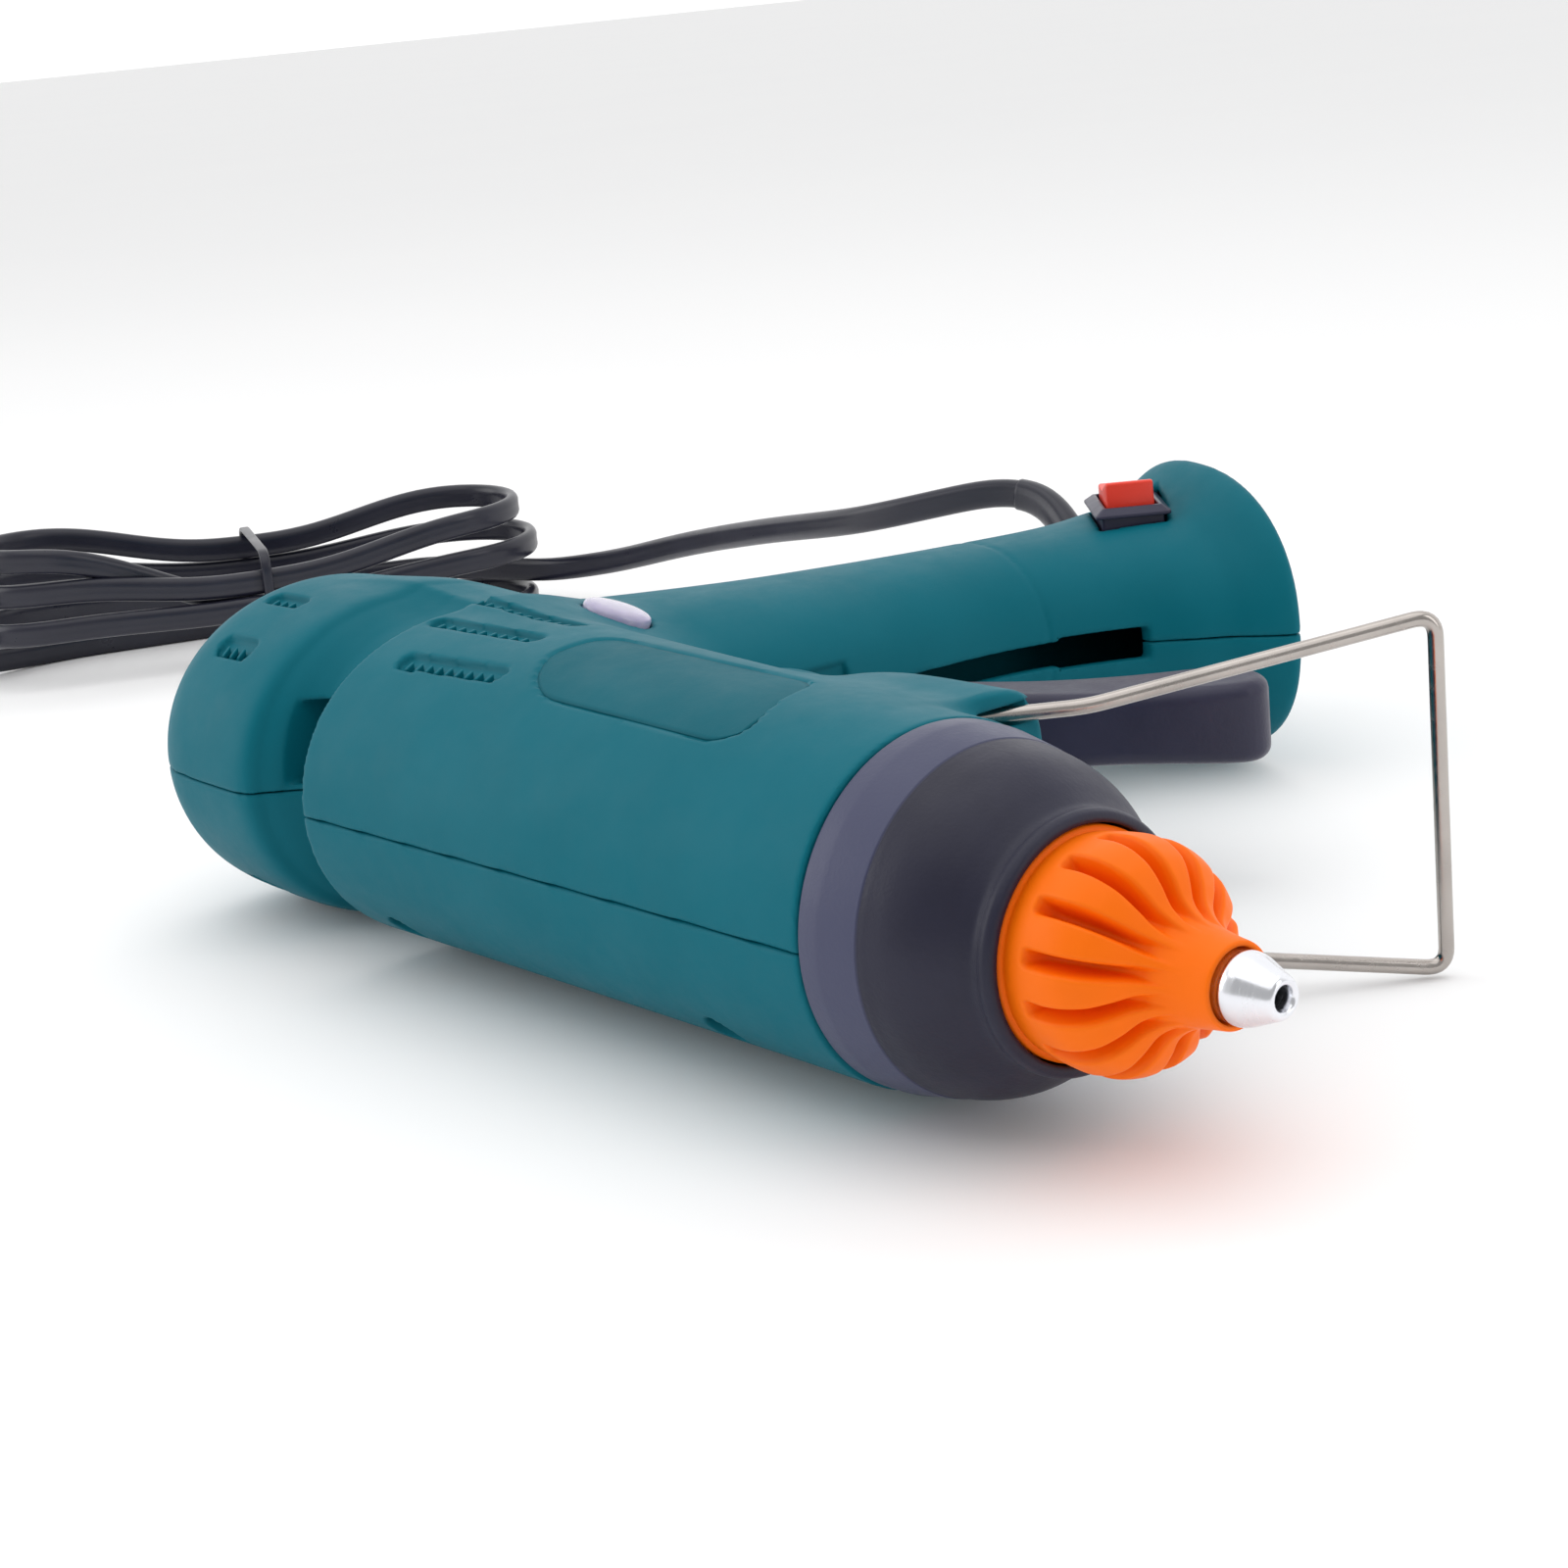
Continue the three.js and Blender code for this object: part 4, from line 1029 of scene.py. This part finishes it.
# --- trigger
def make_trigger():
    outline = catmull([
        (-97, 50), (-94.5, 64), (-80, 75.5), (-66, 86.5), (-54, 96.5), (-45, 106), (-38, 107.5), (-32.5, 105),
        (-31, 99.5), (-36, 93), (-50, 81), (-64, 69.5), (-76, 59), (-84, 47), (-87, 41), (-93, 43),
        (-97, 50)], 6)[:-1]
    towards = np.array([-math.sin(ARM_LEAN), -math.cos(ARM_LEAN)])
    across = np.array([-towards[1], towards[0]])

    def form(x, y, z):
        flat = sd_polygon(x, y, outline)
        edge = 2.4
        half = TRIGGER_HALF - 0.9 * np.exp(-((y - 84) / 13) ** 2)
        outside = np.hypot(np.maximum(flat + edge, 0), np.maximum(np.abs(z) - half + edge, 0)) - edge
        blade = np.maximum(outside, np.minimum(np.maximum(flat, np.abs(z) - half), 0))
        hollow = np.maximum(sd_polygon(x + 2.6, y - 2.4, outline) + 0.4, np.abs(z) - TRIGGER_HALF + 1.8)
        blade = smax(blade, -hollow, 0.5)
        web = sd_polygon(x, y, [(-93, 50), (-86, 66), (-60, 89), (-46, 99), (-40, 97), (-78, 59), (-86, 46)])
        blade = np.minimum(blade, np.maximum(web, np.abs(z) - 1.2))
        hub = sd_post(x, y, z, TRIGGER_PIVOT, 6, -TRIGGER_HALF, TRIGGER_HALF)
        blade = smin(blade, hub, 0.8)
        px, py = x - TRIGGER_PIVOT[0], y - TRIGGER_PIVOT[1]
        a = px * towards[0] + py * towards[1]
        c = px * across[0] + py * across[1]
        arm = np.maximum.reduce([np.abs(c) - 4.6, -a, a - ARM_LENGTH - 2.6, np.abs(z) - 2.9])
        fork = np.maximum(np.abs(c) - 2.15, ARM_LENGTH - 4 - a)
        arm = smax(arm, -fork, 0.3)
        blade = smin(blade, arm, 0.5)
        return smax(blade, -sd_post(x, y, z, TRIGGER_PIVOT, 2.2, -20, 20), 0.3)

    low, high, step = (-107, 8, -9.0), (-28, 111, 9.0), 0.5
    lever = net_piece("trigger_lever", sampled(form, low, high, step), low, step)
    finish_piece(lever, trim_grey, ("trigger",), "trigger")


make_trigger()


# --- wire stand
def make_stand():
    along = np.array([math.cos(BAIL_ANGLE), math.sin(BAIL_ANGLE)])

    def at(reach, z):
        return np.array([BAIL_PIVOT[0] + reach * along[0], BAIL_PIVOT[1] + reach * along[1], z])

    half = [at(0, 14.2), at(0, LEG_Z), at(19, LEG_Z), at(BAIL_REACH, BAIL_HALF)]
    corners = half + [p * [1, 1, -1] for p in reversed(half)]
    bends = [0, 2.2, 3.0, 3.6, 3.6, 3.0, 2.2, 0]
    path = [corners[0]]
    for i in range(1, len(corners) - 1):
        p = corners[i]
        start = p + unit(corners[i - 1] - p) * bends[i]
        end = p + unit(corners[i + 1] - p) * bends[i]
        path.extend(corner_curve(start, p, end, 12))
    path.append(corners[-1])
    path = resampled(path, 0.6)
    flat = unit(np.cross([*along, 0], [0, 0, 1]))
    rings = []
    for p, t in zip(path, unit_rows(np.gradient(path, axis=0))):
        side = unit(np.cross(t, flat))
        rings.append([p + WIRE_R * (math.cos(a) * flat + math.sin(a) * side)
                      for a in round_angles(20)])
    stand = skin("stand_wire", rings)
    finish_piece(stand, nickel, ("wire_stand",), "wire_stand")


make_stand()


# --- switch and indicator
def switch_point(a, b, z):
    c, s = math.cos(SWITCH_YAW), math.sin(SWITCH_YAW)
    return (SWITCH_CENTRE[0] + a * c - b * s, SWITCH_CENTRE[1] + a * s + b * c, z)


def make_switch():
    levels = [
        (12.6, 18.6, 9.0, 0.6), (12.6, 18.6, SWITCH_Z + 0.25, 0.6), (15.0, 21.0, SWITCH_Z + 0.3, 0.9),
        (15.2, 21.2, SWITCH_Z + 0.45, 0.9), (15.2, 21.2, SWITCH_Z + 0.8, 0.9), (15.0, 21.0, SWITCH_Z + 1.0, 0.9),
        (12.2, 18.2, SWITCH_Z + 2.1, 0.7), (11.9, 17.9, SWITCH_Z + 2.2, 0.6), (10.8, 16.8, SWITCH_Z + 2.2, 0.5),
        (10.5, 16.5, SWITCH_Z + 2.05, 0.4), (10.4, 16.4, SWITCH_Z + 1.7, 0.4), (10.4, 16.4, 14.0, 0.4),
    ]
    rings = []
    for wide, long, z, radius in levels:
        corners = [(-wide / 2, -long / 2), (wide / 2, -long / 2), (wide / 2, long / 2), (-wide / 2, long / 2)]
        rings.append([switch_point(a, b, z) for a, b in rounded_profile(corners, radius, 6)])
    bezel = skin("switch_bezel", rings)
    finish_piece(bezel, bezel_grey, ("switch_housing",), smooth=False)
    soften(bezel, 0.00015)

    profile = rounded_profile([(-6.4, -1.5), (-6.9, 5.2), (-5.8, 5.5), (0, 4), (5.8, 5.5), (6.9, 5.2),
                               (6.4, -1.5), (0, -3.2)], 0.9, 5)
    rings = []
    for a, shrink in ((-4.8, 0.45), (-4.65, 0.15), (-4.4, 0), (4.4, 0), (4.65, 0.15), (4.8, 0.45)):
        ring = []
        for b, h in profile:
            scale = 1 - shrink / 6.0
            y, z = b * scale, 1.5 + (h - 1.5) * scale
            tilted = (y * math.cos(ROCKER_TILT) + z * math.sin(ROCKER_TILT),
                      -y * math.sin(ROCKER_TILT) + z * math.cos(ROCKER_TILT))
            ring.append(switch_point(a, tilted[0], SWITCH_Z + 0.3 + tilted[1]))
        rings.append(ring)
    rocker = skin("rocker_cap", rings)
    finish_piece(rocker, red, ("switch_rocker",), "switch_rocker")
    rocker.data.set_sharp_from_angle(angle=math.radians(35))

    centre, up = lens_frame()
    side = unit(np.cross(up, [0, 1, 0]))
    other = np.cross(up, side)
    rings = [[centre + t * up + r * (math.cos(a) * side + math.sin(a) * other)
              for a in round_angles(64)] for r, t in [
        (3.0, -5), (3.0, -2.05), (LENS_R - 0.15, -2.0), (LENS_R, -1.8), (LENS_R, 0.5), (LENS_R - 0.2, 0.95),
        (LENS_R - 0.9, 1.35), (4.2, 1.6), (2.0, 1.75), (0.4, 1.8)]]
    lens = skin("indicator_window", rings)
    finish_piece(lens, lens_lilac, ("indicator_lens",))


def soften(obj, width):
    bevel = obj.modifiers.new("edges", "BEVEL")
    bevel.width = width
    bevel.segments = 3
    bevel.limit_method = "ANGLE"
    bevel.angle_limit = math.radians(30)


make_switch()


# --- return spring
def make_spring():
    """A coil against the front stop, which in the real gun shortens as the trigger is pulled."""
    low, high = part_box("return_spring")
    radius = (high.y - low.y) * 500 - 0.6
    start, end = low.x * 1000 - OFFSET[0] + 0.6, high.x * 1000 - OFFSET[0] - 0.6
    turns, each = 7, 36
    rings = []
    for i in range(turns * each + 1):
        t = i / (turns * each)
        a = 2 * math.pi * turns * t
        share = t - 0.035 * math.sin(2 * math.pi * t)
        centre = np.array([start + (end - start) * share, radius * math.cos(a), radius * math.sin(a)])
        outer = np.array([0, math.cos(a), math.sin(a)])
        rings.append([centre + 0.55 * (math.cos(b) * outer + math.sin(b) * np.array([1, 0, 0]))
                      for b in round_angles(12)])
    spring = skin("coil_spring", rings)
    finish_piece(spring, zinc_steel, ("return_spring",))
    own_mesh(spring)


make_spring()


# --- carried-over CAD nodes
CARRIED = {
    zinc_steel: ["heat_shield", "heater_cartridge", "stick_clamp", "trigger_pin"]
    + [f"shell_screw_{i + 1}" for i in range(len(SCREWS))],
    turned_aluminium: ["melt_chamber"],
    ceramic: ["thermal_fuse"],
    inner_silicone: ["inlet_sleeve", "terminal_block", "heater_lead_1", "heater_lead_2"],
    trim_grey: ["feed_carriage"],
    lens_lilac: ["indicator_lamp"],
}
for material, names in CARRIED.items():
    for name in names:
        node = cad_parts[name]
        for place in node.material_slots:
            place.material = material


# --- floor and light
def make_stage():
    bpy.ops.mesh.primitive_plane_add(size=30, location=(0, 0, -0.00002))
    floor = bpy.context.object
    floor.name = "studio_floor"
    material, nodes, links, bsdf = shader("studio_floor", 0.8, specular=0.1)
    tone = noise(nodes, links, 3, 2)
    links.new(mixed(nodes, links, tone, (0.95, 0.95, 0.955), (0.97, 0.97, 0.97)), bsdf.inputs["Base Color"])
    floor.data.materials.append(material)

    world = bpy.data.worlds.new("studio")
    bpy.context.scene.world = world
    world.use_nodes = True
    nodes, links = world.node_tree.nodes, world.node_tree.links
    place = nodes.new("ShaderNodeTexCoord")
    facing = nodes.new("ShaderNodeVectorMath")
    facing.operation = "DOT_PRODUCT"
    facing.inputs[1].default_value = (0.77, -0.58, 0.26)
    links.new(place.outputs["Generated"], facing.inputs[0])
    shade = ramp(nodes, links, facing.outputs["Value"], 1.2, 0.5, -0.1, 0.55)
    nodes["Background"].inputs["Color"].default_value = (1, 1, 1, 1)
    links.new(shade, nodes["Background"].inputs["Strength"])

    def area(name, place, target, size, watts):
        data = bpy.data.lights.new(name, "AREA")
        data.shape = "RECTANGLE"
        data.size, data.size_y = size
        data.energy = watts
        light = linked(name, data)
        light.location = place
        light.rotation_euler = (Vector(target) - Vector(place)).to_track_quat("-Z", "Y").to_euler()

    area("key_top", (0.1, -0.25, 1.1), (0, 0, 0), (1.3, 1.3), 4.5)
    area("left_wall", (-0.9, -0.9, 0.5), (0, 0, 0.03), (0.9, 0.8), 3)
    area("right_strip", (0.9, 0.25, 0.5), (0, 0, 0.03), (0.35, 0.9), 1.6)


make_stage()
bpy.context.scene.view_settings.view_transform = "Standard"
